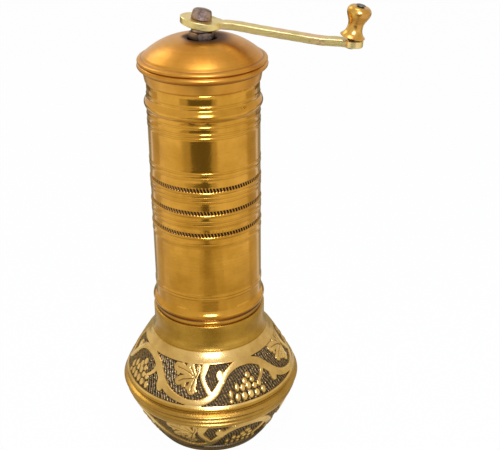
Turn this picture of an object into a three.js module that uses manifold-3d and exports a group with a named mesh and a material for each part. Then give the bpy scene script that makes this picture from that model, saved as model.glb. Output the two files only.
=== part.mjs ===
// A hand coffee mill in brass: a round carved cup that catches the ground coffee, a straight
// barrel that holds the beans and the burrs, a domed lid, and a crank with a knob.
// Millimetres, +Z up. The foot stands on z = 0, the shaft runs along the Z axis and the crank
// points along +X.

import * as THREE from "three";
import { mergeVertices } from "three/addons/utils/BufferGeometryUtils.js";
import Module from "manifold-3d";

const wasm = await Module();
wasm.setup();

// Fits
const FIT_GAP = 0.3; // between two pieces that are pressed, soldered or screwed together
const RUN_GAP = 0.3; // between two pieces that turn or slide in each other
const PLAY = 0.15; // between two flat faces that turn on each other
const PAST = 1; // how far a drill or cutter runs past the face it cuts

// Cup: lower bowl, belt, upper shoulder and neck
const FOOT_R = 27;
const FOOT_RIM = 3; // width of the ring that stands round the foot disc
const FOOT_DISC_T = 2.2;
const FOOT_LEDGE_T = 1.8;
const FOOT_LEDGE_W = 3;
const BOWL_H = 25.5;
const BOWL_R = 41; // where the lower carved band meets the belt
const BOWL_SWELL = 1.35;
const CUP_WALL = 2.7; // measured level, so the wall square to its slope is about 2.4
const BELT_STEP = 1.1;
const COVE_OUT = 0.3; // the hollow between the belt's beads and the ridge
const LOWER_BEAD_H = 3.6;
const LOWER_BEAD_OUT = 1.3;
const UPPER_BEAD_H = 3.1;
const UPPER_BEAD_OUT = 2.1;
const CUP_LIP_H = 2.7; // the shoulder's lip that sits inside the bowl's rim
const CUP_LIP_T = 1.5;
const RIDGE_H = 2.7;
const RIDGE_OUT = 0.6;
const PANEL_H = 18;
const NECK_FLARE = 4.6; // from the neck out to the carved panel's upper edge
const PANEL_SWELL = 0.5;
const NECK_CURVE_H = 10;
const NECK_OUT = 0.9; // beyond the barrel's lower edge
const NECK_H = 6.8;
const NECK_WALL = 1.9;

// The vine carved round the bowl and the shoulder. It is drawn on a field as wide as one repeat and
// as tall as the band: each point is across, up and half the width there in millimetres.
const VINE_REPEATS = 4;
const VINE_FIELD_W = 90;
const VINE_FIELD_H = 18;
const BAND_STEPS = 4; // points up a carved band
const VINE_TURN = THREE.MathUtils.degToRad(-75); // where the field's zero lies round the shoulder
const BOWL_VINE_TURN = THREE.MathUtils.degToRad(-77);
const VINE_RELIEF = 0.85; // how far the ground is sunk
const VINE_TOLERANCE = 0.05; // corners nearer than this to a straight line or a face are left out
const BOWL_BAND_Z = 4.3;
const BOWL_BAND_INSET = 0.9; // below the bowl's upper edge
const BAND_BORDER = 0.7; // plain metal along a band's edges
const VINE_STROKES = [
  // the stem, from trough to trough
  [
    [-14, 2.2, 1.6],
    [0, 4.6, 1.4],
    [9, 10.8, 1.4],
    [18, 16, 1.5],
    [25, 16.8, 1.5],
    [38, 15.3, 1.6],
    [48, 11.6, 1.8],
    [58, 6.6, 1.8],
    [66, 3.8, 1.6],
    [77, 2.2, 1.6],
  ],
  // the grapes' stalk, two buds and the leaf's stalk
  [
    [42.5, 13.3, 0.9],
    [40.5, 9.3, 0.8],
    [36, 6.6, 0.6],
  ],
  [
    [45, 12.3, 0.8],
    [49.3, 7.2, 1],
    [50, 3.8, 1.5],
  ],
  [
    [9, 10, 0.9],
    [7.2, 13.6, 1.6],
  ],
  [
    [1.5, 5, 0.8],
    [-3.5, 9.4, 0.8],
    [-9.5, 12.3, 0.8],
  ],
  [
    [-8, 12, 0.8],
    [-4.2, 15.8, 1.2],
    [-3, 18, 1.2],
  ],
  // the leaf's lobes
  [
    [-14.5, 12.3, 1],
    [-27.6, 14.9, 1.8],
  ],
  [
    [-14.5, 12.3, 1],
    [-18, 16.3, 1.9],
  ],
  [
    [-14.5, 12.3, 1],
    [-24, 10.4, 1.7],
  ],
  [
    [-14.5, 12.3, 1],
    [-16.8, 7.2, 1.8],
    [-12.5, 5.8, 1.2],
  ],
  [
    [-14.5, 12.3, 1],
    [-9.4, 16.3, 1.6],
  ],
];
const GRAPE_SIDES = 6;
// The grapes, those that touch in one: across, up, and half the width and height in millimetres.
const GRAPES = [
  [28.5, 10.4, 1.4, 1.4],
  [25.6, 8.6, 1.1, 1.3],
  [32, 8, 1.3, 1.3],
  [18.7, 4.3, 1, 3.2],
  [24, 4.3, 1.1, 3.9],
  [29.5, 4.4, 1.2, 3.6],
  [34.3, 4.8, 1, 3],
  [12.8, 3, 1.2, 1.2],
  [38.5, 4.2, 1, 2],
];

// Barrel
const BARREL_H = 116;
const BARREL_R = 25;
const BARREL_WALL = 2.7;
const MOUTH_STEP = 0.5; // the bore is wider above the spider's seat
const SEAM_H = 3;
const SEAM_OUT = 0.6;
const BOTTOM_BEAD_H = 8;
const BOTTOM_BEAD_OUT = 1.6;
const TOP_BEAD_DROP = 16.6; // from the barrel's upper edge to the bead's lower edge
const TOP_BEAD_H = 4.2;
const TOP_BEAD_OUT = 1.1;
const UPPER_STEP = 0.2; // the barrel is a little thinner above the bead
const LID_SEAT_H = 5.5;
const LID_SEAT_STEP = 0.9;

// Spigot ring that plugs the barrel into the cup's neck and carries the outer burr
const SPIGOT_H = 10;
const SLEEVE_H = 8;
const BURR_LEDGE_T = 3;
const BURR_LEDGE_W = 4.1;
const SLEEVE_WALL = 1.7;

// Burrs
const OUTER_BURR_H = 15.5;
const OUTER_BURR_MOUTH_WALL = 8; // at its upper end, up to the cutting edges
const OUTER_BURR_FOOT_WALL = 5.65; // level with the inner burr's lower edge
const OUTER_BURR_TEETH = 24;
const OUTER_TOOTH = 0.9;
const INNER_BURR_H = 14;
const INNER_BURR_TOP_R = 6.5;
const INNER_BURR_TEETH = 12;
const INNER_TOOTH = 1.6;
const BURR_TWIST = 0.55; // radians from the burr's bottom to its top
const TOOTH_CREST = 0.25; // parts of a tooth's pitch
const TOOTH_ROOT_START = 0.4;
const TOOTH_ROOT_END = 0.75;
const BURR_GAP = 0.35; // between the cutting edges at the burrs' lower end, set for a medium grind
const BURR_NUT_AF = 13;
const BURR_NUT_H = 5;
const BURR_WASHER_R = 7.2;
const BURR_WASHER_T = 0.8;

// Small slotted screws of the burr and the stirrup
const SCREW_R = 1;
const SCREW_HEAD_R = 1.9;
const SCREW_HEAD_H = 1.4;
const SCREW_SLOT_W = 0.5;
const SCREW_SLOT_DEPTH = 0.6;
const BURR_SCREWS = 3;
const BURR_SCREW_INSET = 2.3; // from the wall of the burr's seat
const BURR_SCREW_BITE = 4;

// Stirrup, adjusting nut and thrust stud under the burrs
const STIRRUP_W = 9;
const STIRRUP_BAR_T = 4;
const STIRRUP_FOOT_T = 3;
const STIRRUP_LEG_T = 3;
const STIRRUP_WINDOW_GAP = 1; // beside the adjusting nut
const ADJUST_NUT_R = 8;
const ADJUST_NUT_H = 7;
const ADJUST_NUT_NOTCHES = 20;
const ADJUST_NUT_NOTCH = 0.6;
const STUD_R = 3;
const STUD_TAIL = 1.7; // below the stirrup's foot
const STUD_HEAD_R = 4.8;
const STUD_HEAD_H = 3;
const STUD_CUP_DEPTH = 2.3;
const DROP_ALLOWED = 1.2; // how far the stud may be let down for the coarsest grind

// Shaft and its upper bearing
const SHAFT_R = 4;
const SHAFT_END_R = 3; // above the shoulder that the crank's parts stand on
const JOURNAL_R = 2.5;
const SHAFT_FLANGE_R = 6;
const SHAFT_FLANGE_T = 1.6;
const SQUARE = 4.2; // across the flats of the shaft's end
const SPIDER_DEPTH = 18.8; // below the barrel's top edge
const SPIDER_H = 5;
const SPIDER_RIM = 1.6;
const SPOKES = 3;
const SPOKE_W = 5;
const SPOKE_H = 4;
const HUB_R = 8;
const HUB_H = 8;
const HUB_BELOW = 1;
const BUSH_WALL = 1.3;
const BUSH_FLANGE_R = 7.2;
const BUSH_FLANGE_T = 1.5;

// Lid
const COLLAR_WALL = 1.1;
const COLLAR_FLARE = 1.1;
const COLLAR_H = 6; // up to the bead
const COLLAR_BEAD_H = 2.4;
const COLLAR_BEAD_OUT = 1.8;
const RIM_OUT = 2.1; // beyond the collar's upper edge
const RIM_H = 2.7;
const RIM_FACE_INSET = 0.9;
const RIM_ARC_START = THREE.MathUtils.degToRad(135); // where the rim's rounding meets the trough
const RIM_ARC_END = THREE.MathUtils.degToRad(-54);
const TROUGH_INSET = 2.1; // from the rim to the dome's foot
const DOME_FOOT_DROP = 0.5; // the trough between the dome and its raised rim
const DOME_RISE = 7.9;
const DOME_T = 1.5;
const DIMPLE_DEPTH = 0.7;
const DIMPLE_W = 2.1; // round the hole
const LID_HOLE_GAP = 0.5; // beside the nut's corners
const LID_LIP_T = 1;

// Crank, its nut, spacer and cap screw
const STACK_NUT_SINK = 0.3; // below the edge of the lid's hole
const STACK_NUT_AF = 10.2;
const STACK_NUT_H = 3.5;
const SPACER_R = 4.5;
const SPACER_H = 1.2;
const CRANK_REACH = 64.9; // to the middle of the pad
const CRANK_T = 2.9;
const CRANK_W = 5.8;
const CRANK_TILT = THREE.MathUtils.degToRad(3.5); // the arm droops on its loose square
const EYE_BEND = THREE.MathUtils.degToRad(6.5); // the eye leans by this much more than the arm
const EYE_BEND_X = 5.5; // how far the bent eye reaches along the arm
const EYE_R = 9.2;
const EYE_HALF_W = 8; // the eye is a little narrower than it is long
const PAD_R = 4;
const PAD_DROP = 1.8; // the knob's end of the bar lies this much below its start
// The hammered bends after the eye: how far along the arm, and how high the bar's middle is there
const CRANK_BENDS = [
  [9.8, 0],
  [16, 0],
  [26, -0.75],
  [38, -1.45],
  [51, -2.15],
  [59, -1.85],
  [72, -PAD_DROP],
];
const CAP_R = 4.5;
const CAP_TOP_R = 4;
const CAP_H = 3.1;
const CAP_CROWN = 1;
const CAP_SHANK_R = 1;
const CAP_SHANK_L = 6;
const CAP_SLOT_W = 0.8;
const CAP_SLOT_DEPTH = 0.9;

// Knob
const KNOB_REACH = 64; // the pin stands a little inside the middle of the pad
const KNOB_LEAN = THREE.MathUtils.degToRad(9.5); // outwards, besides the arm's droop
const KNOB_H = 12.9;
const KNOB_BASE_R = 5.2;
const KNOB_BASE_H = 0.4;
const KNOB_WAIST_R = 3.2;
const KNOB_WAIST_Z = 5;
const KNOB_HEAD_R = 5.1;
const KNOB_HEAD_Z = 10.6;
const KNOB_TOP_R = 3.1;
const KNOB_WASHER_R = 3.2;
const KNOB_WASHER_T = 0.4;
const PIN_R = 1.2;
const PIN_HEAD_R = 1.7;
const PIN_HEAD_H = 0.5;
const PIN_FOOT_R = 1.7;
const PIN_FOOT_H = 0.5;

// How finely round shapes are divided
const SIDES = 40;
const SMALL_SIDES = 24;
const SCREW_SIDES = 12;
const CURVE_STEPS = 6;
const BEAD_STEPS = 5;
const BURR_STEPS = 4;
const WELD = 1e-4; // corners nearer than this are one corner

// Heights above the foot, radii, and then heights above the barrel's lower face
const BELT_Z = BOWL_H + BELT_STEP;
const CUP_JOINT_Z = BELT_Z + LOWER_BEAD_H + UPPER_BEAD_H;
const PANEL_Z = CUP_JOINT_Z + RIDGE_H;
const PANEL_TOP_Z = PANEL_Z + PANEL_H;
const NECK_Z = PANEL_TOP_Z + NECK_CURVE_H;
const NECK_TOP_Z = NECK_Z + NECK_H;
const CUP_RIM_R = BOWL_R + COVE_OUT;

const BARREL_BORE_R = BARREL_R - BARREL_WALL;
const MOUTH_BORE_R = BARREL_BORE_R + MOUTH_STEP;
const SEAM_R = BARREL_R + SEAM_OUT;
const NECK_R = SEAM_R + NECK_OUT;
const NECK_BORE_R = NECK_R - NECK_WALL;
const PANEL_TOP_R = NECK_R + NECK_FLARE;
const UPPER_R = BARREL_R - UPPER_STEP;
const LID_SEAT_R = UPPER_R - LID_SEAT_STEP;
const BURR_SEAT_R = BARREL_BORE_R - FIT_GAP - SLEEVE_WALL;
const BURR_LEDGE_R = BURR_SEAT_R - BURR_LEDGE_W;
const BURR_SCREW_CIRCLE_R = BURR_SEAT_R - BURR_SCREW_INSET;
const OUTER_BURR_R = BURR_SEAT_R - FIT_GAP;
const INNER_BURR_R = OUTER_BURR_R - OUTER_BURR_FOOT_WALL - BURR_GAP;
const OUTER_BURR_MOUTH_R = OUTER_BURR_R - OUTER_BURR_MOUTH_WALL;
const COLLAR_BORE_R = LID_SEAT_R + RUN_GAP;
const COLLAR_BOTTOM_R = COLLAR_BORE_R + COLLAR_WALL;
const COLLAR_TOP_R = COLLAR_BOTTOM_R + COLLAR_FLARE;
const COLLAR_BEAD_R = COLLAR_TOP_R + COLLAR_BEAD_OUT;
const RIM_R = COLLAR_TOP_R + RIM_OUT;
const RIM_FACE_R = RIM_R - RIM_FACE_INSET;
const DOME_FOOT_R = RIM_R - TROUGH_INSET;
const LID_HOLE_R = STACK_NUT_AF / Math.sqrt(3) + LID_HOLE_GAP;
const DIMPLE_R = LID_HOLE_R + DIMPLE_W;

const TOP_BEAD_Z = BARREL_H - TOP_BEAD_DROP;
const LEDGE_Z = BURR_LEDGE_T - SPIGOT_H;
const STIRRUP_Z = -SPIGOT_H - STIRRUP_BAR_T;
const ADJUST_NUT_Z = STIRRUP_Z - RUN_GAP - ADJUST_NUT_H;
const STIRRUP_FOOT_Z = ADJUST_NUT_Z - RUN_GAP - STIRRUP_FOOT_T;
const STUD_SQUARE_Z = ADJUST_NUT_Z + ADJUST_NUT_H + DROP_ALLOWED + RUN_GAP;
const STUD_HEAD_Z = DROP_ALLOWED + RUN_GAP - SPIGOT_H;
const STUD_TOP_Z = STUD_HEAD_Z + STUD_HEAD_H;
const FLANGE_Z = STUD_TOP_Z + FIT_GAP;
const INNER_BURR_Z = FLANGE_Z + SHAFT_FLANGE_T;
const BURR_WASHER_Z = INNER_BURR_Z + INNER_BURR_H;
const BURR_NUT_Z = BURR_WASHER_Z + BURR_WASHER_T;
const SPIDER_Z = BARREL_H - SPIDER_DEPTH;
const HUB_TOP_Z = SPIDER_Z - HUB_BELOW + HUB_H;
const LID_SEAT_Z = BARREL_H - LID_SEAT_H;
const LID_JOINT_Z = LID_SEAT_Z + COLLAR_H + COLLAR_BEAD_H;
const LID_LIP_H = COLLAR_H + COLLAR_BEAD_H - LID_SEAT_H - 2 * RUN_GAP; // stops above the barrel's edge
const DOME_FOOT_Z = LID_JOINT_Z + RIM_H - DOME_FOOT_DROP;
const LID_HOLE_Z = DOME_FOOT_Z + DOME_RISE - DIMPLE_DEPTH;
const SHAFT_SHOULDER_Z = LID_HOLE_Z - STACK_NUT_SINK;
const SPACER_Z = SHAFT_SHOULDER_Z + STACK_NUT_H;
const SPACER_TOP_Z = SPACER_Z + SPACER_H;
const EYE_TILT = CRANK_TILT + EYE_BEND;
const EYE_Z = SPACER_TOP_Z + SPACER_R * Math.sin(EYE_TILT) + PLAY + CRANK_T / 2; // mid-thickness
const SHAFT_TOP_Z = EYE_Z + CRANK_T / 2 - (SQUARE / 2) * Math.sin(EYE_TILT) - FIT_GAP;
const CAP_Z = EYE_Z + CRANK_T / 2 + PLAY;

const SCREW_HOLE_R = SCREW_R + FIT_GAP;
const SPIGOT_R = NECK_BORE_R - RUN_GAP;
const STIRRUP_REACH = SPIGOT_R - FIT_GAP;
const STIRRUP_SCREW_X = (BURR_SEAT_R + SPIGOT_R) / 2 - FIT_GAP;
const STIRRUP_SCREW_BITE = BURR_LEDGE_T - 2 * FIT_GAP; // ends under the burr

// A point of a turned profile: its distance from the axis and its height.
const at = (r, z) => new THREE.Vector2(r, z);

// One closed skin without doubled corners or empty triangles, with its faces pointing out.
function closed(geometry) {
  const bare = new THREE.BufferGeometry();
  bare.setAttribute("position", geometry.getAttribute("position"));
  bare.setIndex(geometry.index);
  const merged = mergeVertices(bare, WELD);
  const index = merged.index.array;
  const kept = [];
  for (let i = 0; i < index.length; i += 3) {
    const [a, b, c] = [index[i], index[i + 1], index[i + 2]];
    if (a !== b && b !== c && c !== a) kept.push(a, b, c);
  }
  if (signedVolume(merged.getAttribute("position"), kept) < 0) kept.reverse();
  merged.setIndex(kept);
  return merged;
}

function signedVolume(position, index) {
  const [a, b, c] = [new THREE.Vector3(), new THREE.Vector3(), new THREE.Vector3()];
  let sum = 0;
  for (let i = 0; i < index.length; i += 3) {
    a.fromBufferAttribute(position, index[i]);
    b.fromBufferAttribute(position, index[i + 1]);
    c.fromBufferAttribute(position, index[i + 2]);
    sum += a.dot(b.cross(c)) / 6;
  }
  return sum;
}

function toSolid(geometry) {
  const mesh = closed(geometry);
  return new wasm.Manifold(
    new wasm.Mesh({
      numProp: 3,
      vertProperties: new Float32Array(mesh.getAttribute("position").array),
      triVerts: new Uint32Array(mesh.index.array),
    }),
  );
}

function toGeometry(manifold) {
  const mesh = manifold.getMesh();
  const geometry = new THREE.BufferGeometry();
  geometry.setAttribute("position", new THREE.BufferAttribute(mesh.vertProperties, 3));
  geometry.setIndex(new THREE.BufferAttribute(mesh.triVerts, 1));
  return geometry;
}

const without = (geometry, ...tools) =>
  toGeometry(tools.reduce((left, tool) => left.subtract(toSolid(tool)), toSolid(geometry)));
const together = (geometry, ...others) =>
  toGeometry(others.reduce((sum, other) => sum.add(toSolid(other)), toSolid(geometry)));
const simpler = (geometry, tolerance) => toGeometry(toSolid(geometry).simplify(tolerance));
const overlap = (geometry, other) => toGeometry(toSolid(geometry).intersect(toSolid(other)));

// A profile turned round the Z axis. It closes on itself unless it starts and ends on the axis.
function turned(profile, sides = SIDES) {
  const onAxis = profile[0].x === 0 && profile.at(-1).x === 0;
  const outline = onAxis ? profile : [...profile, profile[0]];
  return closed(new THREE.LatheGeometry(outline, sides).rotateX(Math.PI / 2));
}

const rod = (r, bottom, top, sides = SMALL_SIDES) =>
  turned([at(0, bottom), at(r, bottom), at(r, top), at(0, top)], sides);

const ring = (inner, outer, bottom, top, sides = SIDES) =>
  turned([at(inner, bottom), at(outer, bottom), at(outer, top), at(inner, top)], sides);

const block = (x, y, bottom, top) =>
  new THREE.BoxGeometry(x, y, top - bottom).translate(0, 0, (bottom + top) / 2);

// An outline in X and Y, raised from one height to another.
const plate = (shape, bottom, top) =>
  new THREE.ExtrudeGeometry(shape, {
    depth: top - bottom,
    bevelEnabled: false,
    curveSegments: CURVE_STEPS,
  }).translate(0, 0, bottom);

// An outline in X and Z, spread evenly to both sides of the XZ plane.
const standing = (shape, width) =>
  new THREE.ExtrudeGeometry(shape, { depth: width, bevelEnabled: false })
    .rotateX(Math.PI / 2)
    .translate(0, width / 2, 0);

const evenly = (count, make) => Array.from({ length: count }, (_, i) => make(i / (count - 1)));

// A half-round bead on a turned surface, from one height to another.
const bead = (bottom, top, baseR, out) =>
  evenly(BEAD_STEPS + 1, (t) => at(baseR + out * Math.sin(Math.PI * t), bottom + (top - bottom) * t));

function hexNut(acrossFlats, boreR, bottom, top) {
  const cornerR = acrossFlats / Math.sqrt(3);
  return without(ring(boreR, cornerR, bottom, top, 6), rod(boreR, bottom - PAST, top + PAST));
}

const roundBump = (t) => 4 * t * (1 - t);
const ease = (t) => t * t * (3 - 2 * t);

// The lower bowl's radius at a height, inside the belt too.
function bowlR(z) {
  const t = Math.min(z / BOWL_H, 1);
  return FOOT_R + (BOWL_R - FOOT_R) * t + BOWL_SWELL * roundBump(t);
}

// The shoulder's radius at a height of its carved panel.
function panelR(z) {
  const t = (z - PANEL_Z) / PANEL_H;
  return CUP_RIM_R + (PANEL_TOP_R - CUP_RIM_R) * t + PANEL_SWELL * roundBump(t);
}

const FOOT_BORE_R = FOOT_R - FOOT_RIM;
const FOOT_LEDGE_Z = FOOT_DISC_T + FIT_GAP;
const CUP_FLOOR_Z = FOOT_LEDGE_Z + FOOT_LEDGE_T;
const CUP_INNER_R = BOWL_R - CUP_WALL;
const CUP_LIP_Z = CUP_JOINT_Z - CUP_LIP_H;
const CUP_LIP_R = CUP_INNER_R + CUP_LIP_T;

// A stroke's outline: along one side, round its end, and back along the other.
function strokeOutline(points) {
  const sides = [[], []];
  points.forEach(([x, y, half], i) => {
    const [before, after] = [points[Math.max(i - 1, 0)], points[Math.min(i + 1, points.length - 1)]];
    const way = at(after[0] - before[0], after[1] - before[1]).normalize();
    for (const [k, side] of [1, -1].entries())
      sides[k].push(at(x - side * half * way.y, y + side * half * way.x));
  });
  return [...sides[0].reverse(), ...sides[1]];
}

const grapeOutline = ([x, y, wide, high]) =>
  Array.from({ length: GRAPE_SIDES }, (_, i) => {
    const turn = (2 * Math.PI * i) / GRAPE_SIDES;
    return at(x + wide * Math.cos(turn), y + high * Math.sin(turn));
  });

// What the chisel takes away from a band: a shallow ring with the vine left standing in it.
function vineGround({ radiusAt, low, high, turn }) {
  const tall = high - low;
  const slant = Math.hypot(tall, radiusAt(high) - radiusAt(low));
  const across = (2 * Math.PI * radiusAt((low + high) / 2)) / VINE_REPEATS / VINE_FIELD_W;
  const up = slant / VINE_FIELD_H;
  const deep = (VINE_RELIEF * slant) / tall; // measured level
  const wrapped = (outline, repeat) => {
    const bar = plate(new THREE.Shape(outline), -deep - PAST, PAST);
    const position = bar.getAttribute("position");
    for (let i = 0; i < position.count; i++) {
      const part = position.getX(i) / across / VINE_FIELD_W + repeat;
      const angle = turn + (2 * Math.PI * part) / VINE_REPEATS;
      const z = low + (position.getY(i) / up / VINE_FIELD_H) * tall;
      const r = radiusAt(z) + position.getZ(i);
      position.setXYZ(i, r * Math.cos(angle), r * Math.sin(angle), z);
    }
    return bar;
  };
  const inMillimetres = ([x, y, ...rest]) => [x * across, y * up, ...rest];
  const outlines = [
    ...VINE_STROKES.map((points) => strokeOutline(points.map(inMillimetres))),
    ...GRAPES.map((grape) => grapeOutline(inMillimetres(grape))),
  ];
  const vine = Array.from({ length: VINE_REPEATS }, (_, repeat) =>
    outlines.map((outline) => wrapped(outline, repeat)),
  ).flat();
  const heights = evenly(BAND_STEPS, (t) => low + BAND_BORDER + (tall - 2 * BAND_BORDER) * t);
  const ground = turned([
    ...heights.map((z) => at(radiusAt(z) - deep, z)),
    ...heights.toReversed().map((z) => at(radiusAt(z) + PAST, z)),
  ]);
  return without(ground, ...vine);
}

function footDisc() {
  return rod(FOOT_BORE_R - FIT_GAP, 0, FOOT_DISC_T, SIDES);
}

function baseBowl() {
  const outside = evenly(CURVE_STEPS, (t) => at(bowlR(BOWL_H * t), BOWL_H * t));
  const beltMiddle = BELT_Z + LOWER_BEAD_H;
  const lower = bead(BELT_Z, beltMiddle, BOWL_R, LOWER_BEAD_OUT);
  const upper = bead(beltMiddle, CUP_JOINT_Z, CUP_RIM_R, UPPER_BEAD_OUT);
  const socket = [
    at(CUP_LIP_R + FIT_GAP, CUP_JOINT_Z),
    at(CUP_LIP_R + FIT_GAP, CUP_LIP_Z - FIT_GAP),
    at(CUP_INNER_R, CUP_LIP_Z - FIT_GAP),
  ];
  const inside = evenly(CURVE_STEPS, (t) => {
    const z = BOWL_H + (CUP_FLOOR_Z - BOWL_H) * t;
    return at(bowlR(z) - CUP_WALL, z);
  });
  const ledgeR = FOOT_BORE_R - FOOT_LEDGE_W;
  const floor = [
    at(ledgeR, CUP_FLOOR_Z),
    at(ledgeR, FOOT_LEDGE_Z),
    at(FOOT_BORE_R, FOOT_LEDGE_Z),
    at(FOOT_BORE_R, 0),
  ];
  const body = turned([...outside, ...lower, ...upper.slice(1), ...socket, ...inside, ...floor]);
  const band = { radiusAt: bowlR, low: BOWL_BAND_Z, high: BOWL_H - BOWL_BAND_INSET, turn: BOWL_VINE_TURN };
  return simpler(without(body, vineGround(band)), VINE_TOLERANCE);
}

function baseShoulder() {
  const ridge = bead(CUP_JOINT_Z, PANEL_Z, CUP_RIM_R, RIDGE_OUT);
  const panel = evenly(BAND_STEPS, (t) => at(panelR(PANEL_Z + PANEL_H * t), PANEL_Z + PANEL_H * t));
  const curve = (startR, endR, startZ) =>
    new THREE.QuadraticBezierCurve(
      at(startR, startZ),
      at(endR, (PANEL_TOP_Z + NECK_Z) / 2),
      at(endR, NECK_Z),
    );
  const neck = curve(PANEL_TOP_R, NECK_R, PANEL_TOP_Z).getPoints(BEAD_STEPS);
  const neckInside = curve(PANEL_TOP_R - CUP_WALL, NECK_BORE_R, PANEL_TOP_Z)
    .getPoints(BEAD_STEPS)
    .reverse();
  const panelInside = evenly(CURVE_STEPS, (t) => {
    const z = PANEL_TOP_Z - PANEL_H * t;
    return at(panelR(z) - CUP_WALL, z);
  });
  const lip = [
    at(CUP_INNER_R, CUP_LIP_Z),
    at(CUP_LIP_R, CUP_LIP_Z),
    at(CUP_LIP_R, CUP_JOINT_Z),
  ];
  const body = turned([
    ...ridge,
    ...panel.slice(1),
    ...neck.slice(1),
    at(NECK_R, NECK_TOP_Z),
    at(NECK_BORE_R, NECK_TOP_Z),
    ...neckInside,
    ...panelInside.slice(1),
    ...lip,
  ]);
  const band = { radiusAt: panelR, low: PANEL_Z, high: PANEL_TOP_Z, turn: VINE_TURN };
  return simpler(without(body, vineGround(band)), VINE_TOLERANCE);
}

function barrelTube() {
  const topBeadEnd = TOP_BEAD_Z + TOP_BEAD_H;
  return turned([
    at(BARREL_BORE_R, 0),
    at(SEAM_R, 0),
    at(SEAM_R, SEAM_H),
    ...bead(SEAM_H, SEAM_H + BOTTOM_BEAD_H, BARREL_R, BOTTOM_BEAD_OUT),
    ...bead(TOP_BEAD_Z, topBeadEnd, BARREL_R, TOP_BEAD_OUT),
    at(UPPER_R, topBeadEnd),
    at(UPPER_R, LID_SEAT_Z),
    at(LID_SEAT_R, LID_SEAT_Z),
    at(LID_SEAT_R, BARREL_H),
    at(MOUTH_BORE_R, BARREL_H),
    at(MOUTH_BORE_R, SPIDER_Z),
    at(BARREL_BORE_R, SPIDER_Z),
  ]);
}

// Where the burr's screws stand, between the stirrup's two arms.
const burrScrewAngle = (i) => Math.PI / 2 + (2 * Math.PI * i) / BURR_SCREWS;
const onBurrCircle = (geometry, i) =>
  geometry.translate(BURR_SCREW_CIRCLE_R, 0, 0).rotateZ(burrScrewAngle(i));
const burrScrewHoles = () =>
  Array.from({ length: BURR_SCREWS }, (_, i) =>
    onBurrCircle(rod(SCREW_HOLE_R, -SPIGOT_H - PAST, LEDGE_Z + BURR_SCREW_BITE + FIT_GAP, SCREW_SIDES), i),
  );
const stirrupScrewHoles = (bottom) =>
  [1, -1].map((side) =>
    rod(SCREW_HOLE_R, bottom, STIRRUP_SCREW_BITE + FIT_GAP - SPIGOT_H, SCREW_SIDES).translate(
      side * STIRRUP_SCREW_X,
      0,
      0,
    ),
  );

function spigotRing() {
  const body = turned([
    at(BURR_LEDGE_R, -SPIGOT_H),
    at(SPIGOT_R, -SPIGOT_H),
    at(SPIGOT_R, 0),
    at(BARREL_BORE_R - FIT_GAP, 0),
    at(BARREL_BORE_R - FIT_GAP, SLEEVE_H),
    at(BURR_SEAT_R, SLEEVE_H),
    at(BURR_SEAT_R, LEDGE_Z),
    at(BURR_LEDGE_R, LEDGE_Z),
  ]);
  return without(body, ...burrScrewHoles(), ...stirrupScrewHoles(-SPIGOT_H - PAST));
}

// A slotted screw with its head below z = 0 and its shank above.
function slottedScrew(length) {
  const body = turned(
    [
      at(0, -SCREW_HEAD_H),
      at(SCREW_HEAD_R, -SCREW_HEAD_H),
      at(SCREW_HEAD_R, 0),
      at(SCREW_R, 0),
      at(SCREW_R, length),
      at(0, length),
    ],
    SCREW_SIDES,
  );
  const slotTop = SCREW_SLOT_DEPTH - SCREW_HEAD_H;
  return without(body, block(3 * SCREW_HEAD_R, SCREW_SLOT_W, -SCREW_HEAD_H - PAST, slotTop));
}

// A cone with twisted teeth: the edges' radius runs from bottomR to topR, the roots lie inside.
function toothedCone({ teeth, bottomR, topR, bottom, top, tooth, twist }) {
  const outline = new THREE.Shape();
  for (let i = 0; i < teeth; i++) {
    const step = (2 * Math.PI) / teeth;
    const corners = [
      [bottomR, 0],
      [bottomR, TOOTH_CREST],
      [bottomR - tooth, TOOTH_ROOT_START],
      [bottomR - tooth, TOOTH_ROOT_END],
    ];
    for (const [r, part] of corners) {
      const angle = step * (i + part);
      const go = i === 0 && part === 0 ? "moveTo" : "lineTo";
      outline[go](r * Math.cos(angle), r * Math.sin(angle));
    }
  }
  const height = top - bottom;
  const cone = new THREE.ExtrudeGeometry(outline, { depth: height, steps: BURR_STEPS, bevelEnabled: false });
  const position = cone.getAttribute("position");
  const corner = new THREE.Vector3();
  for (let i = 0; i < position.count; i++) {
    corner.fromBufferAttribute(position, i);
    const t = corner.z / height;
    const r = Math.hypot(corner.x, corner.y) + (topR - bottomR) * t;
    const angle = Math.atan2(corner.y, corner.x) + twist * t;
    position.setXYZ(i, r * Math.cos(angle), r * Math.sin(angle), bottom + corner.z);
  }
  return cone;
}

function outerBurr() {
  const top = LEDGE_Z + OUTER_BURR_H;
  // The cutting edges' radius at a height: they come within BURR_GAP of the inner burr's lower edge.
  const slope = (INNER_BURR_R + BURR_GAP - OUTER_BURR_MOUTH_R) / (top - INNER_BURR_Z);
  const edgeR = (z) => OUTER_BURR_MOUTH_R + slope * (top - z);
  const hollow = toothedCone({
    teeth: OUTER_BURR_TEETH,
    bottomR: edgeR(LEDGE_Z - PAST) + OUTER_TOOTH,
    topR: edgeR(top + PAST) + OUTER_TOOTH,
    bottom: LEDGE_Z - PAST,
    top: top + PAST,
    tooth: OUTER_TOOTH,
    twist: -BURR_TWIST,
  });
  return without(rod(OUTER_BURR_R, LEDGE_Z, top, SIDES), hollow, ...burrScrewHoles());
}

function innerBurr() {
  const cone = toothedCone({
    teeth: INNER_BURR_TEETH,
    bottomR: INNER_BURR_R,
    topR: INNER_BURR_TOP_R + INNER_TOOTH,
    bottom: INNER_BURR_Z,
    top: BURR_WASHER_Z,
    tooth: INNER_TOOTH,
    twist: BURR_TWIST,
  });
  return without(cone, rod(SHAFT_R + FIT_GAP, INNER_BURR_Z - PAST, BURR_WASHER_Z + PAST));
}

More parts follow.
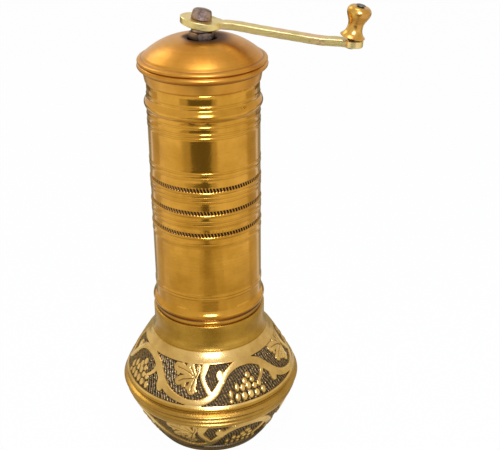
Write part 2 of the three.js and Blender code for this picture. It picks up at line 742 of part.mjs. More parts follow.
const stirrupSquareHole = () => {
  const side = 2 * (STUD_R + RUN_GAP);
  return block(side, side, STIRRUP_Z - PAST, PAST - SPIGOT_H);
};

// A flat bar across the spigot with a window under it that traps the adjusting nut.
function bearingStirrup() {
  const windowX = ADJUST_NUT_R + STIRRUP_WINDOW_GAP;
  const legX = windowX + STIRRUP_LEG_T;
  const outline = new THREE.Shape([
    at(-SPIGOT_R, -SPIGOT_H),
    at(-SPIGOT_R, STIRRUP_Z),
    at(-legX, STIRRUP_Z),
    at(-legX, STIRRUP_FOOT_Z),
    at(legX, STIRRUP_FOOT_Z),
    at(legX, STIRRUP_Z),
    at(SPIGOT_R, STIRRUP_Z),
    at(SPIGOT_R, -SPIGOT_H),
  ]);
  const windowFoot = STIRRUP_FOOT_Z + STIRRUP_FOOT_T;
  outline.holes.push(
    new THREE.Path([
      at(-windowX, windowFoot),
      at(windowX, windowFoot),
      at(windowX, STIRRUP_Z),
      at(-windowX, STIRRUP_Z),
    ]),
  );
  const bar = overlap(
    standing(outline, STIRRUP_W),
    rod(STIRRUP_REACH, STIRRUP_FOOT_Z - PAST, PAST - SPIGOT_H, SIDES),
  );
  return without(
    bar,
    stirrupSquareHole(),
    rod(STUD_R + 2 * RUN_GAP, STIRRUP_FOOT_Z - PAST, windowFoot + PAST),
    ...stirrupScrewHoles(STIRRUP_Z - PAST),
  );
}

function adjustingNut() {
  const rim = new THREE.Shape();
  for (let i = 0; i < 2 * ADJUST_NUT_NOTCHES; i++) {
    const r = i % 2 ? ADJUST_NUT_R - ADJUST_NUT_NOTCH : ADJUST_NUT_R;
    const angle = (Math.PI * i) / ADJUST_NUT_NOTCHES;
    rim[i ? "lineTo" : "moveTo"](r * Math.cos(angle), r * Math.sin(angle));
  }
  const top = ADJUST_NUT_Z + ADJUST_NUT_H;
  const bore = rod(STUD_R + RUN_GAP, ADJUST_NUT_Z - PAST, top + PAST);
  return without(plate(rim, ADJUST_NUT_Z, top), bore);
}

// A screw with a square neck that can't turn in the stirrup, and a cup for the shaft's tip.
function thrustStud() {
  const side = 2 * STUD_R;
  const square = block(side, side, STUD_SQUARE_Z, STUD_HEAD_Z + FIT_GAP);
  const screwed = rod(STUD_R, STIRRUP_FOOT_Z - STUD_TAIL, STUD_SQUARE_Z + FIT_GAP);
  const head = rod(STUD_HEAD_R, STUD_HEAD_Z, STUD_TOP_Z);
  const cup = rod(JOURNAL_R + RUN_GAP, STUD_TOP_Z - STUD_CUP_DEPTH, STUD_TOP_Z + PAST);
  return without(together(square, screwed, head), cup);
}

function spider() {
  const rimR = MOUTH_BORE_R - FIT_GAP;
  const hubBottom = SPIDER_Z - HUB_BELOW;
  const spokeBottom = SPIDER_Z + (SPIDER_H - SPOKE_H) / 2;
  const spokeReach = rimR - SPIDER_RIM / 2;
  const spokes = Array.from({ length: SPOKES }, (_, i) =>
    block(spokeReach, SPOKE_W, spokeBottom, spokeBottom + SPOKE_H)
      .translate(spokeReach / 2, 0, 0)
      .rotateZ(Math.PI / 2 + (2 * Math.PI * i) / SPOKES),
  );
  const body = together(
    ring(rimR - SPIDER_RIM, rimR, SPIDER_Z, SPIDER_Z + SPIDER_H),
    rod(HUB_R, hubBottom, HUB_TOP_Z),
    ...spokes,
  );
  const bushHole = rod(SHAFT_R + RUN_GAP + BUSH_WALL + FIT_GAP, hubBottom - PAST, HUB_TOP_Z + PAST);
  return without(body, bushHole);
}

function spiderBush() {
  const inner = SHAFT_R + RUN_GAP;
  return turned(
    [
      at(inner, SPIDER_Z - HUB_BELOW),
      at(inner + BUSH_WALL, SPIDER_Z - HUB_BELOW),
      at(inner + BUSH_WALL, HUB_TOP_Z),
      at(BUSH_FLANGE_R, HUB_TOP_Z),
      at(BUSH_FLANGE_R, HUB_TOP_Z + BUSH_FLANGE_T),
      at(inner, HUB_TOP_Z + BUSH_FLANGE_T),
    ],
    SMALL_SIDES,
  );
}

function shaft() {
  const tip = STUD_TOP_Z - STUD_CUP_DEPTH + FIT_GAP;
  const round = turned(
    [
      at(0, tip),
      at(JOURNAL_R, tip),
      at(JOURNAL_R, FLANGE_Z),
      at(SHAFT_FLANGE_R, FLANGE_Z),
      at(SHAFT_FLANGE_R, INNER_BURR_Z),
      at(SHAFT_R, INNER_BURR_Z),
      at(SHAFT_R, SHAFT_SHOULDER_Z),
      at(SHAFT_END_R, SHAFT_SHOULDER_Z),
      at(SHAFT_END_R, SPACER_TOP_Z),
      at(0, SPACER_TOP_Z),
    ],
    SMALL_SIDES,
  );
  const square = block(SQUARE, SQUARE, SPACER_Z, SHAFT_TOP_Z);
  const tapped = rod(CAP_SHANK_R + FIT_GAP, CAP_Z - CAP_SHANK_L - FIT_GAP, SHAFT_TOP_Z + PAST, SCREW_SIDES);
  return without(together(round, square), tapped);
}

function lidCollar() {
  const beadZ = LID_SEAT_Z + COLLAR_H;
  const swell = evenly(BEAD_STEPS, (t) => {
    const r = COLLAR_TOP_R + (RIM_FACE_R - COLLAR_TOP_R) * t;
    const crest = COLLAR_BEAD_R - (COLLAR_TOP_R + RIM_FACE_R) / 2;
    return at(r + crest * Math.sin(Math.PI * t), beadZ + COLLAR_BEAD_H * t);
  });
  return turned([
    at(COLLAR_BORE_R, LID_SEAT_Z),
    at(COLLAR_BOTTOM_R, LID_SEAT_Z),
    ...swell,
    at(COLLAR_BORE_R, LID_JOINT_Z),
  ]);
}

function lidDome() {
  const domeZ = (r) => {
    const t = (r - DIMPLE_R) / (DOME_FOOT_R - DIMPLE_R);
    return DOME_FOOT_Z + DOME_RISE * (1 - t * t);
  };
  const outside = evenly(CURVE_STEPS, (t) => {
    const r = DIMPLE_R + (DOME_FOOT_R - DIMPLE_R) * t;
    return at(r, domeZ(r));
  });
  const rim = evenly(BEAD_STEPS, (t) => {
    const turn = THREE.MathUtils.lerp(RIM_ARC_START, RIM_ARC_END, t);
    const half = RIM_H / 2;
    return at(RIM_R - half + half * Math.cos(turn), LID_JOINT_Z + half + half * Math.sin(turn));
  });
  const insideR = LID_SEAT_R - LID_LIP_T;
  const inside = evenly(CURVE_STEPS, (t) => {
    const r = insideR + (DIMPLE_R - insideR) * t;
    return at(r, domeZ(r) - DOME_T);
  });
  return turned([
    at(LID_HOLE_R, LID_HOLE_Z),
    ...outside,
    ...rim,
    at(RIM_FACE_R, LID_JOINT_Z),
    at(LID_SEAT_R, LID_JOINT_Z),
    at(LID_SEAT_R, LID_JOINT_Z - LID_LIP_H),
    at(insideR, LID_JOINT_Z - LID_LIP_H),
    ...inside,
    at(LID_HOLE_R, LID_HOLE_Z - DOME_T),
  ]);
}

// The crank in its own frame: its eye lies round the origin and the arm runs along +X.
function crankArm() {
  const half = CRANK_W / 2;
  const eyeTurn = Math.asin(half / EYE_HALF_W);
  const padTurn = Math.asin(half / PAD_R);
  const plan = new THREE.Shape();
  plan.absellipse(0, 0, EYE_R, EYE_HALF_W, eyeTurn, 2 * Math.PI - eyeTurn, false);
  plan.lineTo(CRANK_REACH - PAD_R * Math.cos(padTurn), -half);
  plan.absarc(CRANK_REACH, 0, PAD_R, padTurn - Math.PI, Math.PI - padTurn, false);
  const onEye = (x) => at(x, -x * Math.tan(EYE_BEND));
  const bends = new THREE.SplineCurve(CRANK_BENDS.map(([x, z]) => at(x, z))).getPoints(3 * CURVE_STEPS);
  const middle = [onEye(-EYE_R - PAST), onEye(0), onEye(EYE_BEND_X), ...bends];
  const side = new THREE.Shape([
    ...middle.map(({ x, y }) => at(x, y - CRANK_T / 2)),
    ...middle.toReversed().map(({ x, y }) => at(x, y + CRANK_T / 2)),
  ]);
  const tall = 2 * CRANK_T;
  const bar = overlap(plate(plan, -tall, tall), standing(side, 3 * EYE_R));
  const holeSide = SQUARE + 2 * FIT_GAP;
  const squareHole = block(holeSide, holeSide, -tall, tall).rotateY(-CRANK_TILT);
  const pinHole = rod(PIN_R + FIT_GAP, -tall - CRANK_T, tall)
    .rotateY(KNOB_LEAN)
    .translate(KNOB_REACH, 0, CRANK_T / 2 - PAD_DROP);
  return without(bar, squareHole, pinHole);
}

// The cap's head sits flat on the leaning eye, while its shank stays upright in the shaft.
function capScrew() {
  const crown = evenly(BEAD_STEPS, (t) => {
    const turn = (Math.PI / 2) * t;
    return at(CAP_TOP_R * Math.cos(turn), CAP_H + CAP_CROWN * Math.sin(turn));
  });
  crown.at(-1).x = 0;
  const head = turned([at(0, 0), at(CAP_R, 0), ...crown], SMALL_SIDES);
  const top = CAP_H + CAP_CROWN;
  const slot = block(3 * CAP_R, CAP_SLOT_W, top - CAP_SLOT_DEPTH, top + PAST);
  const slotted = without(head, slot).rotateY(EYE_TILT).translate(0, 0, CAP_Z);
  return together(slotted, rod(CAP_SHANK_R, CAP_Z - CAP_SHANK_L, CAP_Z + CAP_H / 2));
}

// The knob's parts stand on z = 0, the arm's upper face, in a frame that leans with the knob.
const KNOB_WASHER_Z = KNOB_WASHER_R * Math.sin(KNOB_LEAN) + PLAY;
const KNOB_Z = KNOB_WASHER_Z + KNOB_WASHER_T + PLAY;
const KNOB_BORE_R = PIN_R + RUN_GAP;

function knob() {
  const trumpet = evenly(BEAD_STEPS, (t) =>
    at(
      KNOB_WAIST_R + (KNOB_BASE_R - KNOB_WAIST_R) * (1 - t) ** 3,
      KNOB_Z + KNOB_BASE_H + (KNOB_WAIST_Z - KNOB_BASE_H) * t,
    ),
  );
  const neck = evenly(BEAD_STEPS, (t) =>
    at(
      KNOB_WAIST_R + (KNOB_HEAD_R - KNOB_WAIST_R) * ease(t),
      KNOB_Z + KNOB_WAIST_Z + (KNOB_HEAD_Z - KNOB_WAIST_Z) * t,
    ),
  );
  const head = evenly(BEAD_STEPS, (t) => {
    const turn = (Math.PI / 2) * t;
    return at(
      KNOB_TOP_R + (KNOB_HEAD_R - KNOB_TOP_R) * Math.cos(turn),
      KNOB_Z + KNOB_HEAD_Z + (KNOB_H - KNOB_HEAD_Z) * Math.sin(turn),
    );
  });
  return turned(
    [
      at(KNOB_BORE_R, KNOB_Z),
      at(KNOB_BASE_R, KNOB_Z),
      ...trumpet,
      ...neck.slice(1),
      ...head.slice(1),
      at(KNOB_BORE_R, KNOB_Z + KNOB_H),
    ],
    SMALL_SIDES,
  );
}

function knobPin() {
  const top = KNOB_Z + KNOB_H + FIT_GAP;
  const foot = -CRANK_T - PIN_FOOT_R * Math.sin(KNOB_LEAN) - PLAY;
  return turned(
    [
      at(0, foot - PIN_FOOT_H),
      at(PIN_FOOT_R, foot - PIN_FOOT_H),
      at(PIN_FOOT_R, foot),
      at(PIN_R, foot),
      at(PIN_R, top),
      at(PIN_HEAD_R, top),
      at(PIN_HEAD_R, top + PIN_HEAD_H),
      at(0, top + PIN_HEAD_H),
    ],
    SMALL_SIDES,
  );
}

// Finishes
const finish = (color, roughness, metalness) =>
  new THREE.MeshStandardMaterial({ color, roughness, metalness, flatShading: true });
const antiqueBrass = () => finish("#a8782e", 0.4, 1);
const barrelBrass = () => finish("#c08a34", 0.22, 1);
const lidBrass = () => finish("#c4832e", 0.35, 1);
const crankBrass = () => finish("#c2a95a", 0.35, 1);
const knobBrass = () => finish("#c9822f", 0.3, 1);
const turnedBrass = () => finish("#b9913f", 0.4, 1);
const darkSteel = () => finish("#4d4440", 0.5, 1);
const brightSteel = () => finish("#8b8a88", 0.35, 1);
const burrIron = () => finish("#5a5754", 0.6, 1);
const bronze = () => finish("#9a6a3c", 0.45, 1);

function add(group, name, geometry, material) {
  const mesh = new THREE.Mesh(geometry, material);
  mesh.name = name;
  group.add(mesh);
}

const grinder = new THREE.Group();
add(grinder, "foot_disc", footDisc(), antiqueBrass());
add(grinder, "base_bowl", baseBowl(), antiqueBrass());
add(grinder, "base_shoulder", baseShoulder(), antiqueBrass());

const barrel = new THREE.Group();
barrel.position.z = NECK_TOP_Z;
grinder.add(barrel);
add(barrel, "barrel_tube", barrelTube(), barrelBrass());
add(barrel, "spigot_ring", spigotRing(), turnedBrass());
add(barrel, "outer_burr", outerBurr(), burrIron());
for (let i = 0; i < BURR_SCREWS; i++) {
  const screw = slottedScrew(BURR_LEDGE_T + BURR_SCREW_BITE).translate(0, 0, -SPIGOT_H);
  add(barrel, `burr_screw_${i + 1}`, onBurrCircle(screw, i), brightSteel());
}
add(barrel, "bearing_stirrup", bearingStirrup(), turnedBrass());
for (const [i, side] of [1, -1].entries()) {
  const screw = slottedScrew(STIRRUP_BAR_T + STIRRUP_SCREW_BITE);
  screw.translate(side * STIRRUP_SCREW_X, 0, STIRRUP_Z);
  add(barrel, `stirrup_screw_${i + 1}`, screw, brightSteel());
}
add(barrel, "adjusting_nut", adjustingNut(), turnedBrass());
add(barrel, "thrust_stud", thrustStud(), brightSteel());
add(barrel, "spider", spider(), turnedBrass());
add(barrel, "spider_bush", spiderBush(), bronze());
add(barrel, "shaft", shaft(), darkSteel());
add(barrel, "inner_burr", innerBurr(), burrIron());
const washerBoreR = SHAFT_R + FIT_GAP;
const burrWasher = ring(washerBoreR, BURR_WASHER_R, BURR_WASHER_Z, BURR_NUT_Z, SMALL_SIDES);
add(barrel, "burr_washer", burrWasher, brightSteel());
const burrNut = hexNut(BURR_NUT_AF, washerBoreR, BURR_NUT_Z, BURR_NUT_Z + BURR_NUT_H);
add(barrel, "burr_nut", burrNut, brightSteel());

add(barrel, "lid_collar", lidCollar(), lidBrass());
add(barrel, "lid_dome", lidDome(), lidBrass());

const endBoreR = SHAFT_END_R + FIT_GAP;
const stackNut = hexNut(STACK_NUT_AF, endBoreR, SHAFT_SHOULDER_Z, SPACER_Z);
add(barrel, "stack_nut", stackNut, darkSteel());
const spacer = ring(endBoreR, SPACER_R, SPACER_Z, SPACER_TOP_Z, SMALL_SIDES);
add(barrel, "spacer_ring", spacer, darkSteel());
add(barrel, "cap_screw", capScrew(), darkSteel());

const crank = new THREE.Group();
crank.position.z = EYE_Z;
crank.rotation.y = CRANK_TILT;
barrel.add(crank);
add(crank, "crank_arm", crankArm(), crankBrass());

const handle = new THREE.Group();
handle.position.set(KNOB_REACH, 0, CRANK_T / 2 - PAD_DROP);
handle.rotation.y = KNOB_LEAN;
crank.add(handle);
const knobWasher = ring(KNOB_BORE_R, KNOB_WASHER_R, KNOB_WASHER_Z, KNOB_Z - PLAY, SMALL_SIDES);
add(handle, "knob_washer", knobWasher, turnedBrass());
add(handle, "knob", knob(), knobBrass());
add(handle, "knob_pin", knobPin(), brightSteel());

export default grinder;
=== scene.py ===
# %% [markdown]
# A hand coffee mill in brass, dressed piece by piece
#
# The mill is a tall tube that holds the beans, standing in a round carved cup that catches the
# ground coffee. The measured model of it is already packed, so it is loaded first as a fixed frame.
# Each cell after that makes one visible piece a little finer than the frame's own solid, lets it
# ride on the same moving body, and gives it a finish. Lengths are written in millimetres, and MM
# turns them into metres where Blender wants metres.

import math

import bmesh
import bpy
import numpy as np
from mathutils import Matrix, Vector
from mathutils.geometry import delaunay_2d_cdt


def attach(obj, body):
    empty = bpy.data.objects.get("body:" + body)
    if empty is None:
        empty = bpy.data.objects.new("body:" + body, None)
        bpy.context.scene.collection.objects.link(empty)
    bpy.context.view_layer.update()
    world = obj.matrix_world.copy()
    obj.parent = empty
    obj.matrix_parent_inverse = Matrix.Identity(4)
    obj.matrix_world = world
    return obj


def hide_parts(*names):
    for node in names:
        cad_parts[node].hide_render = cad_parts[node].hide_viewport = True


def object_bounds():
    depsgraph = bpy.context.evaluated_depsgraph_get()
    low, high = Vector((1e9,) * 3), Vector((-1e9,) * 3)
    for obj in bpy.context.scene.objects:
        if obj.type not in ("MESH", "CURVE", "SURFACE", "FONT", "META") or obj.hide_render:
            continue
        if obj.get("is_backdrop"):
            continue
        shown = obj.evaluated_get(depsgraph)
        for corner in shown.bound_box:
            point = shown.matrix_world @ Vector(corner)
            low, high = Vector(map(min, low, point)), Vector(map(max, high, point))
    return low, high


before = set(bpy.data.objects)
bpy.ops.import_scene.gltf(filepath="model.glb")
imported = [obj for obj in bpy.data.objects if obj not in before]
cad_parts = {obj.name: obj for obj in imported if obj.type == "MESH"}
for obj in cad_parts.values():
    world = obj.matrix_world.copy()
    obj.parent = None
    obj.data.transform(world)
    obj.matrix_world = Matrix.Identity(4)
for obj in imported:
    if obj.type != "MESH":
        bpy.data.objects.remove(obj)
cad_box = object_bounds()
MM = 0.001
print("frame box in metres:", [round(v, 4) for corner in cad_box for v in corner])

# %% [markdown]
# The camera
#
# The photograph was taken from a little above the lid, close enough for the barrel to narrow
# towards its foot. A real lens does that by itself, so the camera stands at the photographer's
# distance and height, turned by three angles. Finding these from the known heights of the beads
# and from the tilt of the ellipses is surer than nudging the view by eye.

# %% Set up the camera
CAMERA_EYE = (104.69, -390.72, 307.15)
CAMERA_HEADING = math.radians(102.165)  # the way it looks, counted from +X
CAMERA_DROP = math.radians(25.991)
CAMERA_ROLL = math.radians(-0.373)
FRONT = -75.0  # the mill's side that faces the camera, in degrees round the axis

forward = Vector(
    (
        math.cos(CAMERA_HEADING) * math.cos(CAMERA_DROP),
        math.sin(CAMERA_HEADING) * math.cos(CAMERA_DROP),
        -math.sin(CAMERA_DROP),
    )
)
level_right = Vector((math.sin(CAMERA_HEADING), -math.cos(CAMERA_HEADING), 0))
level_up = level_right.cross(forward)
right = level_right * math.cos(CAMERA_ROLL) + level_up * math.sin(CAMERA_ROLL)
up = right.cross(forward)

camera_data = bpy.data.cameras.new("camera")
camera_data.lens = 69.36
camera_data.sensor_width = 36
camera_data.clip_start = 10 * MM
camera = bpy.data.objects.new("camera", camera_data)
bpy.context.collection.objects.link(camera)
axes = Matrix((right, up, -forward)).transposed()
camera.matrix_world = Matrix.Translation(Vector(CAMERA_EYE) * MM) @ axes.to_4x4()
bpy.context.scene.camera = camera
bpy.context.scene.view_settings.view_transform = "Standard"
print("camera stands", round(Vector(CAMERA_EYE).length), "mm from the foot")

# %% [markdown]
# Node helpers
#
# Every finish is a small net of shader nodes. Nets can be drawn by hand in the shader editor, but
# a written net can be made again with other numbers. These helpers keep the nets readable: a
# socket is filled with a fixed value or joined to another node by the same call.

# %% Helpers for shader nodes
def opaque(colour):
    return (*colour, 1)


def plug(tree, socket, value):
    """Join a socket to another node's output, or give it a fixed value."""
    if isinstance(value, bpy.types.NodeSocket):
        tree.links.new(value, socket)
    else:
        socket.default_value = value


def node(tree, kind, **inputs):
    made = tree.nodes.new(kind)
    for name, value in inputs.items():
        plug(tree, made.inputs[name.replace("_", " ")], value)
    return made


def mix_colours(tree, factor, first, second, kind="MIX"):
    made = tree.nodes.new("ShaderNodeMix")
    made.data_type = "RGBA"
    made.blend_type = kind
    for socket, value in ((0, factor), (6, first), (7, second)):
        plug(tree, made.inputs[socket], value)
    return made.outputs[2]


def mix_shaders(tree, share, first, second):
    made = node(tree, "ShaderNodeMixShader", Fac=share)
    tree.links.new(first.outputs[0], made.inputs[1])
    tree.links.new(second.outputs[0], made.inputs[2])
    return made


def number(tree, kind, *values):
    made = tree.nodes.new("ShaderNodeMath")
    made.operation = kind
    for socket, value in zip(made.inputs, values):
        plug(tree, socket, value)
    return made.outputs[0]


def spread(tree, value, low, high, to_low=0.0, to_high=1.0):
    """The value stretched from one range to another, and held at its ends."""
    made = node(
        tree, "ShaderNodeMapRange", Value=value, From_Min=low, From_Max=high,
        To_Min=to_low, To_Max=to_high,
    )
    return made.outputs[0]


def new_material(name):
    made = bpy.data.materials.new(name)
    made.use_nodes = True
    made.node_tree.nodes.clear()
    output = made.node_tree.nodes.new("ShaderNodeOutputMaterial")
    return made, made.node_tree, output.inputs["Surface"]


# %% [markdown]
# Floor and backdrop
#
# Polished metal has hardly any colour of its own: it shows what stands round it. The mill stands
# on white paper. More light would make the paper white, but would wash the metal out. So the paper
# is plain white to the camera and to reflections, and only a small share of it is left to ordinary
# light, which keeps a soft shadow under the cup. The world behind is white to the camera as well,
# a little dimmer to reflections, and dimmer still to ordinary light.

# %% Make the floor
PAPER_SHOWN = 0.97  # share of the floor that is plain white to camera and reflections
PAPER_SIZE = 4000
WHITE = (1, 1, 1, 1)


def paper_seen(tree, share):
    """The share for a ray from the camera, a reflection or glass, and 0 for any other."""
    path = tree.nodes.new("ShaderNodeLightPath")
    seen = number(tree, "MAXIMUM", path.outputs["Is Camera Ray"], path.outputs["Is Glossy Ray"])
    seen = number(tree, "MAXIMUM", seen, path.outputs["Is Transmission Ray"])
    return number(tree, "MULTIPLY", seen, share)


paper, tree, surface = new_material("white_paper")
plain = node(tree, "ShaderNodeBsdfDiffuse", Color=(0.8, 0.8, 0.79, 1))
shown = node(tree, "ShaderNodeEmission", Color=WHITE, Strength=1.0)
mixed = mix_shaders(tree, paper_seen(tree, PAPER_SHOWN), plain, shown)
tree.links.new(mixed.outputs[0], surface)

floor_mesh = bpy.data.meshes.new("floor")
half = PAPER_SIZE / 2 * MM
floor_corners = [(-half, -half, 0), (half, -half, 0), (half, half, 0), (-half, half, 0)]
floor_mesh.from_pydata(floor_corners, [], [(0, 1, 2, 3)])
floor_mesh.materials.append(paper)
floor = bpy.data.objects.new("floor", floor_mesh)
floor.location.z = -0.4 * MM
bpy.context.collection.objects.link(floor)
floor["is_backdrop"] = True
print("floor:", PAPER_SIZE * MM, "m square")

# %% Light the world
world = bpy.data.worlds.new("world")
world.use_nodes = True
bpy.context.scene.world = world
tree = world.node_tree
tree.nodes.clear()
soft = node(tree, "ShaderNodeBackground", Color=(1, 0.985, 0.96, 1), Strength=0.55)
mirrored = node(tree, "ShaderNodeBackground", Color=(1, 0.97, 0.93, 1), Strength=0.84)
backdrop = node(tree, "ShaderNodeBackground", Color=WHITE, Strength=1.0)
lit = mix_shaders(tree, paper_seen(tree, 1.0), soft, mirrored)
path = tree.nodes.new("ShaderNodeLightPath")
behind = mix_shaders(tree, path.outputs["Is Camera Ray"], lit, backdrop)
output = tree.nodes.new("ShaderNodeOutputWorld")
tree.links.new(behind.outputs[0], output.inputs["Surface"])
print("world: three backgrounds, for the camera, reflections and ordinary light")

# %% [markdown]
# Lamps and cards
#
# The barrel in the photograph has one dark upright stripe facing the lens: the photographer and
# the dark room behind them. In a studio the same stripe comes from a dark card laid in front of
# the mill. The camera can't see the card, but the brass can. The barrel is upright and is seen
# from above, so each height of it mirrors the floor at its own distance: the card starts where
# the stripe fades out low on the barrel, and is widest where the stripe is.
#
# Most other cards are paler. Four rings of grey lie round the foot, where the real paper is in the
# mill's own shade, and darken the bowl and the belt. A wide grey card under the dark one softens
# the stripe's sides, two shorter ones soften its lower end, and one darkens the neck. One behind
# the mill and one further back darken the edges of the barrel and the lid, and two narrow ones
# draw the streaks near the barrel's outline. Where one card lies over another, it is a little
# higher.

# %% Lay the cards on the floor
CARD_STEPS = 24
# Each card has a height above the floor, a tone, and rows of (distance, first angle, last angle).
CARDS = {
    "foot_shade": (0.6, (0.16, 0.145, 0.1), [(27, -180, 180), (36, -180, 180)]),
    "shade_card": (1.0, (0.76, 0.72, 0.58), [(36, -180, 180), (60, -180, 180)]),
    "belt_shade": (1.0, (0.5, 0.47, 0.35), [(60, -180, 180), (104, -180, 180)]),
    "paper_shade": (1.0, (0.78, 0.76, 0.68), [(104, -180, 180), (225, -180, 180)]),
    "middle_shade": (1.4, (0.68, 0.65, 0.53), [(60, -30, 40), (150, -26, 38), (245, -14, 26)]),
    "inner_shade": (1.8, (0.57, 0.53, 0.4), [(60, -14, 22), (150, -12, 20), (240, -7, 10)]),
    "grey_card": (2.0, (0.6, 0.57, 0.48), [(300, -36, 20), (380, -46, 24), (900, -50, 26)]),
    "dark_card": (
        3.0, (0.15, 0.145, 0.1), [(240, -5, 4), (300, -12, 8), (370, -29, 15), (900, -32, 17)],
    ),
    "back_card": (2.0, (0.36, 0.33, 0.2), [(60, 138, 222), (900, 138, 222)]),
    "rim_card": (2.3, (0.2, 0.17, 0.085), [(560, 118, 242), (1500, 118, 242)]),
    "neck_shade": (2.2, (0.34, 0.32, 0.22), [(126, -15, 20), (158, -13, 18)]),
    "left_streak": (2.5, (0.66, 0.61, 0.4), [(120, -128, -104), (900, -128, -104)]),
    "right_streak": (2.5, (0.66, 0.61, 0.4), [(120, 92, 124), (900, 92, 124)]),
}


def around(degrees, distance, height):
    """A place given from the mill: degrees from its front, distance and height."""
    turn = math.radians(FRONT + degrees)
    return Vector((distance * math.cos(turn), distance * math.sin(turn), height)) * MM


def lay_card(name, height, tone, rows):
    points, faces = [], []
    for distance, start, end in rows:
        for i in range(CARD_STEPS + 1):
            points.append(around(start + (end - start) * i / CARD_STEPS, distance, height))
    for row in range(len(rows) - 1):
        for i in range(CARD_STEPS):
            a = row * (CARD_STEPS + 1) + i
            faces.append((a, a + 1, a + CARD_STEPS + 2, a + CARD_STEPS + 1))
    mesh = bpy.data.meshes.new(name)
    mesh.from_pydata(points, [], faces)
    finish, tree, surface = new_material(name)
    glow = node(tree, "ShaderNodeEmission", Color=opaque(tone), Strength=1.0)
    tree.links.new(glow.outputs[0], surface)
    mesh.materials.append(finish)
    card = bpy.data.objects.new(name, mesh)
    bpy.context.collection.objects.link(card)
    card.visible_camera = card.visible_diffuse = card.visible_shadow = False
    card.visible_transmission = card.visible_volume_scatter = False
    card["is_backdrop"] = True


for name, (height, tone, rows) in CARDS.items():
    lay_card(name, height, tone, rows)
print(len(CARDS), "cards laid")

# %% Hang the lamps
LAMP_AIM = Vector((0, 0, 110 * MM))


def hang_lamp(name, degrees, distance, height, width, tall, watts, colour):
    data = bpy.data.lights.new(name, "AREA")
    data.shape = "RECTANGLE"
    data.size, data.size_y = width * MM, tall * MM
    data.energy = watts
    data.color = colour
    lamp = bpy.data.objects.new(name, data)
    lamp.location = around(degrees, distance, height)
    lamp.rotation_euler = (LAMP_AIM - lamp.location).to_track_quat("-Z", "Y").to_euler()
    bpy.context.collection.objects.link(lamp)
    print(f"{name}: {watts} W from {degrees} degrees, {height} mm up")


hang_lamp("key_lamp", 3, 900, 570, 330, 420, 7.5, (0.8, 0.97, 1.7))
hang_lamp("top_lamp", 4, 230, 1300, 480, 420, 2.9, (0.95, 0.95, 1.3))
hang_lamp("window_lamp", -134, 880, 850, 480, 480, 1.6, (1, 0.97, 0.88))

# %% [markdown]
# The brass
#
# Old brass is never one colour. It is browner where it has been handled least and brighter where
# it is rubbed, the lathe leaves fine rings, and small specks of tarnish dot it. A photograph of
# worn brass could be wrapped round each piece, but it would stretch over the carving. The finish
# is built from noise at several scales instead, laid out in the piece's own space, so it stays on
# the metal when the piece moves.
#
# Where a piece has dark places, the mesh carries a number for patina and painted light, 0 on plain
# metal and 1 where it is black. Above 0 it holds real patina, and also painted shade in creases and
# seams, on the foot's edge, the belt and round the lid's hole. The finish darkens and dulls by it.
# Below 0 it marks the tops of the carving, which hands have rubbed paler and which carry a painted
# sheen, and the rim above the carving, which carries a painted highlight. The barrel alone still
# has a trace of its clear lacquer.

# %% Let a finish age by the mesh's patina
RUBBED_AND_SHEEN = 0.25  # how far below 0 the patina goes where hands have rubbed the metal paler, with a painted sheen
BLACK_METALLIC = 0.82  # the black of patina and painted shade is a little less metallic than brass


def noise(tree, place, scale, detail, roughness=0.5):
    made = node(
        tree, "ShaderNodeTexNoise", Vector=place, Scale=scale, Detail=detail, Roughness=roughness
    )
    return made.outputs[0]


def stretched(tree, place, scale):
    return node(tree, "ShaderNodeMapping", Vector=place, Scale=scale).outputs[0]


def aged(tree, cloud, tone, colour, rough, metallic, patina_and_painted_light, rubbed_sheen_colours):
    """Colour, roughness and metallic after the patina and painted light: rubbed metal with painted
    sheen, then brown, then black.
    """
    # the attribute holds patina and painted shade above 0, rubbed metal and painted sheen below 0
    attribute = tree.nodes.new("ShaderNodeAttribute")
    attribute.attribute_name = "patina_and_painted_light"
    depth = attribute.outputs["Fac"]
    if rubbed_sheen_colours is not None:
        # paler colour on rubbed tops: wear, and a painted sheen
        rubbed_sheen_share = spread(tree, depth, 0.0, -RUBBED_AND_SHEEN)
        rubbed_sheen_colour = mix_colours(tree, tone, *map(opaque, rubbed_sheen_colours))
        colour = mix_colours(tree, rubbed_sheen_share, colour, rubbed_sheen_colour)
    black = number(tree, "MAXIMUM", depth, 0.0)
    patchy = number(tree, "MULTIPLY_ADD", cloud, 0.3, -0.15)  # the black lies on unevenly
    black = number(tree, "MULTIPLY", black, number(tree, "ADD", 1.0, patchy))
    brown_colour, black_colour = map(opaque, patina_and_painted_light)
    colour = mix_colours(tree, spread(tree, black, 0.0, 0.5), colour, brown_colour)
    colour = mix_colours(tree, spread(tree, black, 0.5, 1.0), colour, black_colour)
    rough = number(tree, "MULTIPLY_ADD", black, 0.3, rough)
    return colour, rough, spread(tree, black, 0.0, 1.0, metallic, BLACK_METALLIC)


# %% Mix a metal finish
TARNISH = (0.09, 0.055, 0.02)
LACQUER_ROUGHNESS = 0.14


